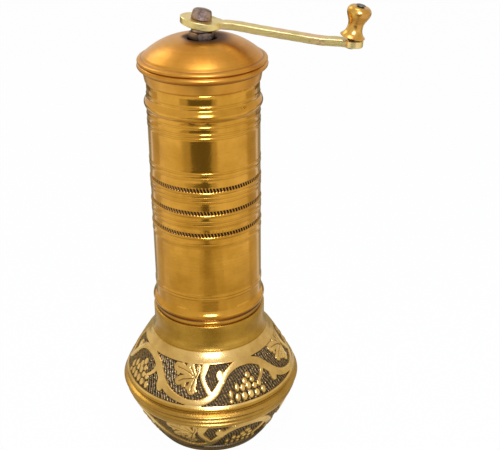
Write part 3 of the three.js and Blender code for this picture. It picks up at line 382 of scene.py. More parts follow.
def metal(
    name, bright, dull, roughness=(0.22, 0.34), patches=55.0, rings=0.12, specks=0.35,
    patina_and_painted_light=None, bump=0.12, scratches=0.0, metallic=1.0, tint=None, rubbed_sheen_colours=None, lacquer=0.0,
):
    made, tree, surface = new_material(name)
    place = tree.nodes.new("ShaderNodeTexCoord").outputs["Object"]
    # Four noises, with scales per metre: patches of wear, a fine haze, the lathe's rings, grain.
    cloud = noise(tree, place, patches, 4.0, 0.62)
    fine = noise(tree, place, 900.0, 2.0, 0.6)
    lathe = noise(tree, stretched(tree, place, (14, 14, 1500)), 1.0, 3.0)
    grain = noise(tree, place, 420.0, 3.0, 0.7)

    tone = spread(tree, cloud, 0.34, 0.66)
    colour = mix_colours(tree, tone, opaque(dull), opaque(bright))
    if tint is not None:
        tinted = spread(tree, noise(tree, place, patches * 0.5, 2.0), 0.5, 0.66, 0.0, 0.85)
        colour = mix_colours(tree, tinted, colour, opaque(tint))
    ring_tone = spread(tree, lathe, 0.3, 0.7, 1 - rings, 1 + rings)
    ring_colour = node(tree, "ShaderNodeCombineColor", Red=ring_tone, Green=ring_tone, Blue=ring_tone)
    colour = mix_colours(tree, 1.0, colour, ring_colour.outputs[0], "MULTIPLY")
    speck = spread(tree, grain, 0.64, 0.74, 0.0, specks)
    colour = mix_colours(tree, speck, colour, opaque(TARNISH))

    rough = spread(tree, cloud, 0.3, 0.7, roughness[1], roughness[0])
    rough = number(tree, "MULTIPLY_ADD", fine, 0.06, rough)
    if patina_and_painted_light is not None:
        colour, rough, metallic = aged(tree, cloud, tone, colour, rough, metallic, patina_and_painted_light, rubbed_sheen_colours)

    height = number(tree, "MULTIPLY_ADD", lathe, 0.6, fine)
    height = number(tree, "MULTIPLY_ADD", grain, 0.8, height)
    if scratches:
        lines = noise(tree, stretched(tree, place, (40, 900, 900)), 1.0, 2.0)
        height = number(tree, "MULTIPLY_ADD", lines, scratches, height)
    bumped = node(tree, "ShaderNodeBump", Height=height, Strength=bump, Distance=0.4 * MM)
    shader = node(
        tree, "ShaderNodeBsdfPrincipled", Base_Color=colour, Roughness=rough, Metallic=metallic,
        Coat_Weight=lacquer, Coat_Roughness=LACQUER_ROUGHNESS, Normal=bumped.outputs[0],
    )
    tree.links.new(shader.outputs[0], surface)
    print(f"{name}: {len(tree.nodes)} nodes")
    return made


barrel_brass = metal(
    "barrel_brass", (0.69, 0.34, 0.042), (0.5, 0.23, 0.018), (0.08, 0.17), rings=0.03,
    specks=0.2, lacquer=0.15, patina_and_painted_light=((0.16, 0.07, 0.015), (0.02, 0.009, 0.003)), bump=0.04,
)
antique_brass = metal(
    "antique_brass", (0.52, 0.29, 0.046), (0.36, 0.185, 0.022), (0.17, 0.32), rings=0.06,
    specks=0.4, patina_and_painted_light=((0.2, 0.13, 0.05), (0.016, 0.012, 0.007)), bump=0.14,
    rubbed_sheen_colours=((0.52, 0.31, 0.08), (0.84, 0.56, 0.18)),
)
lid_brass = metal(
    "lid_brass", (0.68, 0.335, 0.055), (0.52, 0.22, 0.024), (0.24, 0.36), patches=38, rings=0.04,
    specks=0.22, bump=0.08, patina_and_painted_light=((0.2, 0.085, 0.018), (0.035, 0.015, 0.006)),
)

# %% [markdown]
# Turned pieces
#
# Nearly every part of the mill came off a lathe, so nearly every mesh here is a stack of rings:
# circles of points at one height and radius each, joined by quads. Blender's Screw modifier spins
# a profile too, but gives every ring the same number of points. Here a ring may have more points
# than its neighbour, so that a carved band gets a fine mesh while the plain metal beside it stays
# light. Where the count changes, a row of triangles joins one point to several. The corners of
# each profile are rounded a little, because no real edge is sharp.

# %% Helpers for stacks of rings
def circle(r, z, columns):
    turn = np.arange(columns) * (2 * np.pi / columns)
    return np.column_stack((r * np.cos(turn), r * np.sin(turn), np.broadcast_to(z, columns)))


def join_rings(low, high):
    """Faces between two rings, given as (first point, count)."""
    (a, n), (b, m) = low, high
    if n == m:
        i = np.arange(n)
        j = (i + 1) % n
        return np.column_stack((a + i, a + j, b + j, b + i)).tolist()
    if n > m:
        return [face[::-1] for face in join_rings(high, low)]
    faces = []
    per = m // n
    for i in range(n):
        here, there = a + i, a + (i + 1) % n
        middle = per // 2
        for k in range(per):
            first, second = b + per * i + k, b + (per * i + k + 1) % m
            faces.append((here if k < middle else there, second, first))
            if k + 1 == middle:
                faces.append((here, there, second))
    return faces


def skin(rings, looped=True):
    """Points and faces of a stack of rings: each ring is an array of points."""
    starts = np.cumsum([0] + [len(r) for r in rings])
    faces = []
    last = len(rings) if looped else len(rings) - 1
    for i in range(last):
        j = (i + 1) % len(rings)
        faces += join_rings((starts[i], len(rings[i])), (starts[j], len(rings[j])))
    if not looped:
        faces.append(tuple(range(starts[0], starts[1]))[::-1])
        faces.append(tuple(range(starts[-2], starts[-1])))
    return np.vstack(rings), faces


print("a ring of 8 points meets one of 24 in", len(join_rings((0, 8), (8, 24))), "triangles")


# %% Make a piece and hand it to the frame
def make_piece(name, points, faces, finish, body, nodes, patina_and_painted_light=None, sharp=38):
    """One closed mesh, faces outwards, that rides on a body and stands for CAD nodes."""
    mesh = bpy.data.meshes.new(name)
    mesh.from_pydata((np.asarray(points, float) * MM).tolist(), [], faces)
    solid = bmesh.new()
    solid.from_mesh(mesh)
    if solid.calc_volume(signed=True) < 0:
        bmesh.ops.reverse_faces(solid, faces=solid.faces[:])
    volume = solid.calc_volume(signed=True)
    open_edges = sum(not e.is_manifold for e in solid.edges)
    solid.to_mesh(mesh)
    solid.free()
    mesh.shade_smooth()
    mesh.set_sharp_from_angle(angle=math.radians(sharp))
    if patina_and_painted_light is not None:
        mesh.attributes.new("patina_and_painted_light", "FLOAT", "POINT").data.foreach_set(
            "value", np.asarray(patina_and_painted_light, np.float32)
        )
    mesh.materials.append(finish)
    piece = bpy.data.objects.new(name, mesh)
    bpy.context.collection.objects.link(piece)
    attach(piece, body)
    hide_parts(*nodes)
    print(f"{name}: {len(mesh.polygons)} faces, {volume * 1e6:.2f} cm3, {open_edges} open edges")
    return piece


# %% [markdown]
# The carved vine
#
# Both bands of the cup carry the same scroll: a stem that waves between the borders, a five-lobed
# vine leaf in one hollow, a bunch of grapes in the other, and a ground hatched with short chisel
# cuts and then blackened. It repeats four times round the cup. A picture stretched over the mesh
# would look flat from the side, so the carving is real relief: each stroke of the design is a
# line with a width, and the height of the metal at a point follows from its distance to the
# nearest stroke. Across the design, positions are degrees round the axis from one fixed side, and
# upwards they are millimetres, because that is how they are measured off a turned cup.

# %% Draw the design
REPEAT = 90.0
MM_PER_DEGREE = 0.646
PANEL_TALL = 18.0
SLOPE = 1.15  # the band leans, so it is taller along its face than upright

# A point of a line is (degrees, height, half the line's width). A leaf is its lobes, which all
# start from its heart, and the teeth that stick out beside them.
STEM = [
    (-14, 2.0, 1.6), (-8, 2.3, 1.6), (-2, 4.0, 1.65), (2.5, 6.4, 1.7), (5.5, 8.9, 1.55),
    (8.5, 11.3, 1.45), (12, 13.7, 1.45), (16, 15.3, 1.5), (21, 16.4, 1.55), (27, 16.8, 1.6),
    (33, 16.5, 1.65), (38, 15.6, 1.75), (42.5, 14.2, 1.9), (46, 12, 2.0), (49, 10, 1.95),
    (53, 7.5, 1.9), (57, 5.4, 1.85), (61.5, 3.9, 1.75), (67, 2.8, 1.6), (71.5, 2.2, 1.5),
    (76, 2.0, 1.45),
]
SHOOTS = [
    [(42.5, 13.3, 1.2), (42.3, 11.3, 1.1), (40.7, 9.6, 1.0), (38.4, 8.2, 0.9), (36, 7.2, 0.8)],
    [(45.5, 12.3, 1.0), (48.3, 10, 1.2), (50, 7.6, 1.65), (50.6, 5.8, 1.9), (50.8, 4.6, 1.4)],
    [(-1, 5.6, 1.45), (-3.6, 8.2, 1.35), (-6, 10.8, 1.3), (-6.8, 13.2, 1.5), (-5.6, 15.6, 1.95),
     (-4.2, 18, 2.3)],
    [(8.8, 10.4, 1.1), (7.6, 12, 1.8), (6.9, 13.2, 2.15), (6.9, 13.9, 1.8)],
]
LEAF_HEART = (-12.5, 12.2, 1.0)
LOBES = [
    [(-17.5, 14, 1.7), (-23.5, 15, 2.4), (-28.3, 15.5, 2.3)],
    [(-14.8, 14.6, 1.6), (-17.2, 16.3, 2.5)],
    [(-17, 11.7, 1.6), (-22, 11.1, 2.1), (-25.3, 10.0, 2.1)],
    [(-14, 9.8, 2.0), (-15.2, 7.9, 2.2), (-14.9, 6.6, 1.9)],
    [(-10.6, 14.6, 1.1), (-10.2, 16.7, 1.2)],
]
TEETH = [
    [(-22.5, 14.8, 1.2), (-24.2, 16.9, 0.9)], [(-25.5, 15.2, 1.2), (-27, 12.9, 1.0)],
    [(-20, 11.5, 1.2), (-21.2, 8.6, 1.1)], [(-20, 11.5, 1.0), (-20.2, 13.4, 0.7)],
    [(-14.6, 8.4, 1.1), (-18.2, 7.9, 1.15)], [(-14.6, 8.4, 1.1), (-11.8, 6.9, 1.0)],
]
# A grape is (degrees, height, half its width, half its height).
GRAPES = [
    (28.8, 11.2, 1.5, 1.6), (25.3, 9.2, 1.35, 1.7), (31.5, 8.9, 1.3, 1.5), (18.5, 7.5, 1.2, 2.1),
    (22.6, 6.8, 1.3, 1.8), (27.4, 7.0, 1.4, 1.9), (32.2, 6.1, 1.3, 1.5), (36.3, 6.3, 1.2, 1.7),
    (13.4, 5.1, 1.1, 2.2), (18.1, 3.3, 1.3, 2.1), (23, 3.2, 1.4, 2.1), (27.9, 3.3, 1.4, 2.1),
    (32.8, 2.9, 1.35, 1.8), (38.2, 3, 1.2, 2.0), (13.2, 2.1, 1.0, 1.1),
]
print(f"design: {len(SHOOTS)} shoots, {len(LOBES)} lobes, {len(TEETH)} teeth, {len(GRAPES)} grapes")


# %% Measure from the design's strokes
GRAPE_SWELL = 1.12  # each grape is carved this much larger than it is drawn
FAR_OUTSIDE = -99.0


def flowing(points, per=4):
    """A smooth line that passes through every given point."""
    p = np.array(points, float)
    p = np.vstack((2 * p[0] - p[1], p, 2 * p[-1] - p[-2]))
    done = []
    for i in range(1, len(p) - 2):
        for t in np.arange(per) / per:
            a, b, c, d = p[i - 1 : i + 3]
            done.append(
                0.5 * (2 * b + (c - a) * t + (2 * a - 5 * b + 4 * c - d) * t**2
                       + (3 * b - a - 3 * c + d) * t**3)
            )
    done.append(p[-2])
    return np.array(done)


class Band:
    """A grid of places on the band, measured from the design's strokes and grapes."""

    def __init__(self, degrees, tall):
        self.x = degrees * MM_PER_DEGREE
        self.y = tall * SLOPE
        self.period = REPEAT * MM_PER_DEGREE

    def near(self, degrees):
        """Millimetres along the band, counted in the repeat that holds the given side."""
        middle = degrees * MM_PER_DEGREE
        return (self.x - middle + self.period / 2) % self.period - self.period / 2 + middle

    def stroke(self, line):
        """How far inside the line each place lies, in millimetres, below 0 outside it."""
        line = np.array(line, float) * (MM_PER_DEGREE, SLOPE, 1)
        x = self.near(line[:, 0].mean() / MM_PER_DEGREE)
        inside = np.full(x.shape, FAR_OUTSIDE)
        for (ax, ay, aw), (bx, by, bw) in zip(line[:-1], line[1:]):
            dx, dy = bx - ax, by - ay
            t = np.clip(((x - ax) * dx + (self.y - ay) * dy) / (dx * dx + dy * dy), 0, 1)
            away = np.hypot(x - ax - t * dx, self.y - ay - t * dy)
            inside = np.maximum(inside, aw + (bw - aw) * t - away)
        return inside

    def strokes(self, lines):
        return np.maximum.reduce([self.stroke(line) for line in lines])

    def grape(self, degrees, tall, wide, high):
        """1 in the middle of the grape, 0 at its edge and below 0 outside it."""
        x = self.near(degrees) - degrees * MM_PER_DEGREE
        return 1 - np.hypot(x / wide, (self.y - tall * SLOPE) / high) / GRAPE_SWELL


print("the stem is drawn through", len(flowing(STEM)), "points")

# %% Work out the relief
GROUND = 0.95  # depth of the carved ground
STEM_BOLDER = 0.12
LEAF_SUNK = 0.1
GRAPE_PROUD = 0.05
BORDERS = (0.9, 17.5)  # the plain edges end and begin at these heights
VEIN_HALF, VEIN_DEEP = 0.2, 0.3
HATCH_PITCH, HATCH_LONG = 1.32, 2.9
HATCH_ALONG, HATCH_UP = 0.944, 0.33  # the hatching leans by about 19 degrees
CUT_DEEP, RIDGE_TALL = 0.1, 0.46
TOPS_ABOVE = -0.3  # metal above this height is rubbed by hands and carries a painted sheen
GROUND_BELOW = -0.45


def step_up(low, high, x):
    """0 at the low end and 1 at the high end, with a soft start and stop."""
    t = np.clip((x - low) / (high - low), 0, 1)
    return t * t * (3 - 2 * t)


def raised(inside, crown, wide):
    """Height of a stroke: a steep side and a softly crowned top."""
    return -GROUND + (GROUND - crown) * step_up(-0.2, 0.18, inside) + crown * (
        1 - np.exp(-np.maximum(inside, 0) / wide)
    )


def hatching(band):
    """The short ridges between the chisel's cuts: 1 on a ridge, 0 in a cut."""
    wander = 0.25 * np.sin(0.31 * band.x + 1.3) * np.sin(0.9 * band.y) + 0.12 * np.sin(1.7 * band.x)
    along = band.x * HATCH_ALONG + band.y * HATCH_UP + wander
    across = band.y * HATCH_ALONG - band.x * HATCH_UP
    row = np.floor(along / HATCH_PITCH)
    ridge = 0.5 + 0.5 * np.cos(2 * np.pi * along / HATCH_PITCH)
    gap = (across / HATCH_LONG + 0.39 * row + 0.13 * np.sin(2.4 * row)) % 1.0
    return ridge**1.2 * step_up(0.0, 0.14, gap) * step_up(1.0, 0.8, gap)


def shifted(points, degrees):
    return [(x + degrees, *rest) for x, *rest in points]


def carve(degrees, tall):
    """Height of the metal in millimetres, 0 at the profile, and its patina, below 0 on rubbed tops
    that carry a painted sheen.
    """
    turn = np.radians(degrees)
    band = Band(  # no repeat of hand work is quite like the last
        degrees + 0.5 * np.sin(3 * turn + 1.1) * np.sin(turn),
        tall + 0.12 * np.sin(5 * turn + 0.4),
    )
    whole_stem = shifted(STEM[-3:-1], -REPEAT) + STEM + shifted(STEM[1:3], REPEAT)
    stem = band.stroke(flowing(whole_stem)) + STEM_BOLDER
    shoots = band.strokes([flowing(line) for line in SHOOTS])
    lobes = [[LEAF_HEART, *lobe] for lobe in LOBES]
    leaf = band.strokes([flowing(line) for line in lobes + TEETH])
    veins = band.strokes([[(x, y, VEIN_HALF) for x, y, w in line] for line in lobes])
    grapes = np.clip(np.maximum.reduce([band.grape(*grape) for grape in GRAPES]), 0, 1)
    border = np.maximum(tall - BORDERS[1], BORDERS[0] - tall) * SLOPE
    ridge = hatching(band)
    height = np.maximum.reduce(
        [
            -GROUND - CUT_DEEP + RIDGE_TALL * ridge,
            raised(stem, 0.22, 0.5),
            raised(shoots, 0.18, 0.35),
            raised(leaf, 0.2, 0.45) - LEAF_SUNK,
            raised(border, 0.1, 0.4),
            -GROUND + (GROUND + GRAPE_PROUD) * (grapes * (2 - grapes)) ** 0.4,
        ]
    )
    groove = step_up(-0.12, 0.15, veins) * step_up(0.15, 0.5, leaf) * step_up(0.1, -0.3, stem)
    height = height - VEIN_DEEP * groove * (shoots < 0)
    patina_and_painted_light = step_up(-0.2, -0.62, height)
    patina_and_painted_light = np.where(height < GROUND_BELOW, patina_and_painted_light * (1 - 0.8 * ridge), patina_and_painted_light)
    # the tops are made paler: rubbed wear with a painted sheen
    return height, np.where(height > TOPS_ABOVE, 0.6 * patina_and_painted_light - RUBBED_AND_SHEEN, patina_and_painted_light)


probe_height, probe_patina_and_sheen = carve(np.array([25.0, 30.0]), np.array([16.8, 12.5]))
print("relief on the stem and in the ground, mm:", probe_height.round(2))
print("patina on the stem and in the ground:", probe_patina_and_sheen.round(2))

# %% [markdown]
# The cup's lower bowl
#
# The bowl is one casting, turned inside and out and then chased with the vine. It could be a plain
# mesh with a displacement modifier, but then the carving and the turned edges would share one
# density of points. Its rings go up the outside, over the two beads of the belt, down into the
# socket for the upper half, and down the inside to the floor. Only the rings of the carved band
# have 900 points; the carving pushes those points inwards, square to the bowl's slope.

# %% Helpers for the cup's profiles
PLAIN_COLUMNS = 180
CARVED_COLUMNS = 900


def swell(t):
    """A low arch, 0 at both ends and 1 in the middle."""
    return 4 * t * (1 - t)


def carved_rings(radius_at, low, high, rows, phase):
    """Rings of a carved band, and their patina and painted sheen, from one height to another."""
    degrees = np.arange(CARVED_COLUMNS) * 360 / CARVED_COLUMNS
    heights = np.linspace(low, high, rows)
    panel_heights = (heights - low) / (high - low) * PANEL_TALL
    turn_grid, tall = np.meshgrid(degrees - FRONT + phase, panel_heights)
    relief, patina_and_painted_light = carve(turn_grid, tall)
    relief = relief * step_up(0, 0.5, tall) * step_up(PANEL_TALL, PANEL_TALL - 0.4, tall)
    slope = (radius_at(heights + 0.01) - radius_at(heights - 0.01)) / 0.02
    lean = np.hypot(1, slope)
    rings = []
    for i, z in enumerate(heights):
        ring = circle(radius_at(z) + relief[i] / lean[i], 0, CARVED_COLUMNS)
        ring[:, 2] = z - relief[i] * slope[i] / lean[i]
        rings.append(ring)
    return rings, list(patina_and_painted_light)


def plain_rings(profile, columns=PLAIN_COLUMNS):
    return [circle(r, z, columns) for r, z in profile], [np.zeros(columns)] * len(profile)


def bead(low, high, base, out, steps=10):
    """Profile points of a round bead that stands out from a base radius."""
    t = np.linspace(0, 1, steps + 1)
    return list(zip(base + out * np.sin(np.pi * t), low + (high - low) * t))


print("a carved ring has", CARVED_COLUMNS // PLAIN_COLUMNS, "points for each plain one")

# %% Turn and carve the bowl
BOWL_FOOT_R, BOWL_R, BOWL_H, CUP_WALL = 27.0, 41.0, 25.5, 2.7
BAND_LOW, BAND_HIGH = 4.3, 24.6
# the band's lowest rows get painted shade
FOOT_EDGE_ROWS, FOOT_EDGE_SHADE = 8, 0.7
BELT_BEAD_SHADE = 0.08  # painted shade that dims the highlights on the belt's beads


def bowl_r(z):
    t = np.minimum(np.asarray(z, float) / BOWL_H, 1)
    return BOWL_FOOT_R + (BOWL_R - BOWL_FOOT_R) * t + 1.35 * swell(t)


foot_side = [(24.0, 0.0), (26.75, 0.0)] + [(float(bowl_r(z)), z) for z in (0.3, 1.2, 2.4, 3.6, 4.1)]
band, band_patina_and_painted_light = carved_rings(bowl_r, BAND_LOW, BAND_HIGH, 72, 2.0)
for i in range(FOOT_EDGE_ROWS):  # painted shade: the band's lowest rows are darkened, which dims the ledge's highlight
    band_patina_and_painted_light[i] = np.maximum(band_patina_and_painted_light[i], FOOT_EDGE_SHADE)
above = [(float(bowl_r(z)), z) for z in (24.75, 25.1)]
above += [(41.0, 25.5), (41.35, 25.75), (41.45, 26.1), (41.3, 26.45), (41.05, 26.65)]
above += bead(26.75, 30.1, 41.0, 1.3) + bead(30.3, 33.0, 41.3, 1.95)
above += [(41.2, 33.25), (40.9, 33.3), (40.3, 33.3), (40.1, 33.1), (40.1, 30.4), (40.0, 30.3)]
above += [(38.5, 30.3), (38.3, 30.1), (38.3, 27.0)]
above += [(float(bowl_r(z)) - CUP_WALL, z) for z in np.linspace(25.5, 5.3, 22)]
above += [(26.6, 4.6), (25.8, 4.3), (21.3, 4.3), (21.0, 4.1), (21.0, 2.7), (21.2, 2.5)]
above += [(23.9, 2.5), (24.0, 2.4)]
first, first_patina = plain_rings(foot_side)
last, last_patina_and_painted_light = plain_rings(above)
# painted shade on the belt's beads
for i, (r, z) in enumerate(above):
    if r > 40.5 and z > 25:
        last_patina_and_painted_light[i] = last_patina_and_painted_light[i] + BELT_BEAD_SHADE
points, faces = skin(first + band + last)
make_piece(
    "carved_bowl", points, faces, antique_brass, "cup", ["base_bowl"],
    np.concatenate(first_patina + band_patina_and_painted_light + last_patina_and_painted_light),
)

# %% [markdown]
# The cup's shoulder and neck
#
# The upper half drops into the bowl with a short lip. Outside it starts with a low ridge, carries
# the second, wider band of the vine up a steep slope, and ends in a plain neck that takes the
# barrel. A fine groove runs round where the slope turns into the neck; light catches its edge.
# The two halves could be one mesh, but the real cup is two castings, and the seam between them
# shows under the ridge. The rim just above the carving is made pale with the colour of the vine's
# rubbed tops: a painted highlight.

# %% Turn and carve the shoulder
PANEL_LOW, PANEL_HIGH = 36.0, 54.0
PANEL_FOOT_R, PANEL_TOP_R = 41.3, 31.1
NECK_FOOT_Z, NECK_R, NECK_BORE_R = 64.0, 26.5, 24.6
GROOVE_Z, GROOVE_HALF, GROOVE_DEEP = 58.2, 0.35, 0.24


def bump_line(z, centre, half, out):
    """A half-round line raised on a turned surface."""
    t = np.clip((np.asarray(z, float) - centre) / half, -1, 1)
    return out * (0.5 + 0.5 * np.cos(np.pi * t))


def panel_r(z):
    t = (np.asarray(z, float) - PANEL_LOW) / PANEL_TALL
    return PANEL_FOOT_R + (PANEL_TOP_R - PANEL_FOOT_R) * t + 0.5 * swell(t)


def neck_curve(start, end, steps=16, power=2.0):
    t = np.linspace(0, 1, steps + 1)
    r = end + (start - end) * (1 - t) ** power
    z = PANEL_HIGH + (NECK_FOOT_Z - PANEL_HIGH) * t
    return r, z


ridge_side = [(40.9, 33.32)] + bead(33.45, 36.0, 41.3, 0.6, 8)[:-1]
panel, panel_patina_and_sheen = carved_rings(panel_r, PANEL_LOW, PANEL_HIGH, 76, 0.0)
r, z = neck_curve(PANEL_TOP_R, NECK_R, 60, 2.4)
r = r - bump_line(z, GROOVE_Z, GROOVE_HALF, GROOVE_DEEP)
neck = list(zip(r, z))[1:]
neck += [(NECK_R, 67.0), (NECK_R, 70.3), (26.4, 70.65), (26.2, 70.8), (24.8, 70.8), (24.6, 70.6)]
r, z = neck_curve(PANEL_TOP_R - CUP_WALL, NECK_BORE_R)
neck += list(zip(r, z))[::-1]
neck += [(float(panel_r(z)) - CUP_WALL, z) for z in np.linspace(52.5, 36.2, 14)]
neck += [(38.3, 35.0), (38.3, 30.8), (38.5, 30.6), (39.6, 30.6), (39.8, 30.8), (39.8, 33.2)]
neck += [(39.9, 33.3)]
first, first_patina = plain_rings(ridge_side)
last, last_patina_and_painted_light = plain_rings(neck)
# painted highlight: the rim just above the carving gets the pale colour of the rubbed tops
for i, (r, z) in enumerate(neck):
    if r > 27.9 and PANEL_HIGH < z < 58:
        last_patina_and_painted_light[i] = last_patina_and_painted_light[i] - RUBBED_AND_SHEEN
points, faces = skin(first + panel + last)
make_piece(
    "carved_shoulder", points, faces, antique_brass, "cup", ["base_shoulder"],
    np.concatenate(first_patina + panel_patina_and_sheen + last_patina_and_painted_light),
)

# %% [markdown]
# The barrel
#
# A plain tube, trued on the lathe. Fine raised lines, most of them in pairs, divide it, a bold
# bead closes it above and below, and three rows of slanted notches were rolled in with a knurling
# wheel. Bump in the finish could draw lines and notches, but a bump has no outline and no shade of
# its own, so they are in the mesh: the lines are bumps on the tube's radius, and the notches get
# rings of 864 points, eight to a notch. The notches are dark inside, because polish never reaches
# them, and so is the seam between the barrel's foot and the cup's neck. Towards the two sides the
# seam and the crease under the bottom bead get painted shade as well.

# %% Shape the barrel's wall
BARREL_R = 25.0
MOUTH_THINNER = 0.2
BARREL_COLUMNS = 288
KNURL_COLUMNS = 864
NOTCHES = 108
KNURL_ROWS = (117.1, 127.8, 138.6)
KNURL_HALF, KNURL_DEEP, KNURL_SHARE = 1.01, 0.55, 0.7
RAISED_LINES = (84.4, 85.8, 111.9, 121.4, 123.3, 132.9, 134.9, 143.9, 146.2, 162.2, 164.0, 167.2)
MOUTH_LINE = 176.0
LINE_HALF, LINE_OUT = 0.75, 0.2


def barrel_r(z):
    z = np.asarray(z, float)
    r = np.where(z < 174.4, BARREL_R, BARREL_R - MOUTH_THINNER)
    for line in (*RAISED_LINES, MOUTH_LINE):
        r = r + bump_line(z, line, LINE_HALF, LINE_OUT)
    for row in KNURL_ROWS:  # a bolder line runs under each row of notches
        r = r + bump_line(z, row - 1.5, 0.8, 0.28)
    return r


def uneven(z, columns):
    """The tube isn't quite round: a few hundredths of a millimetre that bend the reflections."""
    turn = np.arange(columns) * (2 * np.pi / columns)
    wide = 0.05 * np.sin(5 * turn + 0.016 * z) + 0.028 * np.sin(11 * turn - 0.02 * z + 1.0)
    return wide + 0.009 * np.sin(23 * turn + 0.03 * z + 2.0)


def knurl(z, row):
    """How deep the notches are round one ring, from 0 to 1."""
    degrees = np.arange(KNURL_COLUMNS) * 360 / KNURL_COLUMNS - FRONT
    part = (degrees * NOTCHES / 360 + 0.25 * (z - row)) % 1.0
    deep = np.clip(np.cos(np.pi * (part - 0.5) / KNURL_SHARE), 0, 1) ** 0.7
    return deep * step_up(1.0, 0.72, abs(z - row))


steps = sorted(
    set(np.round(np.arange(79.4, 170.0, 1.6), 2).tolist())
    | {round(line + k * 0.25, 3) for line in RAISED_LINES for k in range(-3, 4)}
    | {round(row + k * 0.25, 3) for row in KNURL_ROWS for k in range(-10, 5)}
)
print(f"barrel wall: {len(steps)} rings between {steps[0]} and {steps[-1]} mm")

# %% Turn the barrel
rings, patina_and_painted_light = [], []


def add_rings(profile, dark=0.0, columns=BARREL_COLUMNS):
    for r, z in profile:
        rings.append(circle(r, z, columns))
        patina_and_painted_light.append(np.broadcast_to(dark, columns))


# The seam is dark, and darkest at the two sides: painted shade there, where nothing bright is
# mirrored in it.
side_shade = abs(np.sin(np.arange(BARREL_COLUMNS) * (2 * np.pi / BARREL_COLUMNS) - math.radians(FRONT)))
seam_and_side_shade = 0.15 + 0.6 * side_shade**3
add_rings([(22.3, 71.0), (22.5, 70.8), (25.35, 70.8), (25.55, 70.95), (25.6, 71.2)], seam_and_side_shade)
# Up the foot the seam's darkening fades, and in the crease under the bottom bead it is stronger:
# painted shade.
add_rings([(25.6, 72.3), (25.5, 72.6)], 0.4 * seam_and_side_shade)
add_rings([(25.2, 72.8), (25.05, 73.0), (25.1, 73.15)], 0.35 + 0.8 * seam_and_side_shade)
add_rings(bead(73.1, 78.2, 25.05, 1.5, 18)[1:])
for z in steps:
    row = min(KNURL_ROWS, key=lambda centre: abs(centre - z))
    if abs(z - row) <= KNURL_HALF:
        deep = knurl(z, row)
        r = barrel_r(z) + uneven(z, KNURL_COLUMNS) - KNURL_DEEP * deep
        add_rings([(r, z)], np.minimum(1.8 * deep, 1), KNURL_COLUMNS)
    else:
        add_rings([(barrel_r(z) + uneven(z, BARREL_COLUMNS), z)])
add_rings(bead(169.5, 174.3, 25.0, 1.15, 16))
mouth = [174.7, 175.0] + [MOUTH_LINE + k * 0.25 for k in range(-3, 4)] + [177.4, 179.0, 180.8]
add_rings([(barrel_r(z), z) for z in mouth])
add_rings([(24.7, 181.15), (24.5, 181.3), (24.1, 181.3), (23.9, 181.5), (23.9, 186.5)])
add_rings([(23.75, 186.75), (23.5, 186.8), (23.0, 186.8), (22.8, 186.6), (22.8, 168.1)])
add_rings([(22.7, 168.0), (22.4, 168.0)] + [(22.3, z) for z in (167.8, 140.0, 110.0, 85.0)])
points, faces = skin(rings)
make_piece(
    "notched_barrel", points, faces, barrel_brass, "barrel", ["barrel_tube"],
    np.concatenate(patina_and_painted_light),
)

# %% [markdown]
# The lid
#
# The lid is two pieces soldered together: a collar that slips over the barrel's mouth and spreads
# into a bead, and a thin spun dome with a rolled rim and a shallow trough inside it. The hole in
# the middle is dished slightly, where the nut below the crank has sunk in. Round the hole the dome
# is darkened: partly by dark grease that has crept out of it, partly by the crank's painted shadow
# and the nut's painted reflection. A dark patch like that could be painted by hand; here it is a
# rule on the points' distance from the hole, so it can be moved or made larger by one number. The
# creases by the collar's bead and the trough at the dome's foot get painted shade.

# %% Turn the collar
LID_COLUMNS = 192
CREASE_SHADE = 0.5  # painted shade: the creases above and below the bead are darkened

t = np.linspace(0, 1, 15)
profile = [(24.2, 181.6), (24.4, 181.3), (25.05, 181.3), (25.3, 181.5)]
profile += [(25.3 + 1.1 * k, 181.3 + 6 * k) for k in (0.12, 0.4, 0.7)]
profile += [(26.1, 185.85), (26.12, 186.0), (26.15, 186.25)]
profile += list(zip(26.3 + 0.95 * t + 1.65 * np.sin(np.pi * t) ** 0.8, 186.3 + 3.35 * t))
profile += [(27.1, 189.7), (24.4, 189.7), (24.2, 189.5)]
rings, patina_and_painted_light = plain_rings(profile, LID_COLUMNS)
# painted shade in the creases by the bead
for i, (r, z) in enumerate(profile):
    if 185.9 < z < 186.4 or z > 189.6:
        patina_and_painted_light[i] = patina_and_painted_light[i] + CREASE_SHADE
points, faces = skin(rings)
make_piece(
    "lid_collar_turned", points, faces, lid_brass, "lid", ["lid_collar"],
    np.concatenate(patina_and_painted_light),
)

# %% Spin the dome
DOME_FOOT_R, DIMPLE_R, HOLE_R = 26.4, 8.489, 6.389
DOME_Z, DOME_RISE, DOME_WALL = 191.9, 7.9, 1.5
TROUGH_Z, TROUGH_SHADE = 191.6, 0.22
SHADOW_AND_GREASE_SIDE = -10.0  # the dark patch round the hole, old grease with the crank's painted shadow and the nut's painted reflection, reaches furthest to this side, in degrees
SHADOW_AND_GREASE_DARK = 0.85


def dome_z(r):
    t = (r - DIMPLE_R) / (DOME_FOOT_R - DIMPLE_R)
    return DOME_Z + DOME_RISE * (1 - t * t)


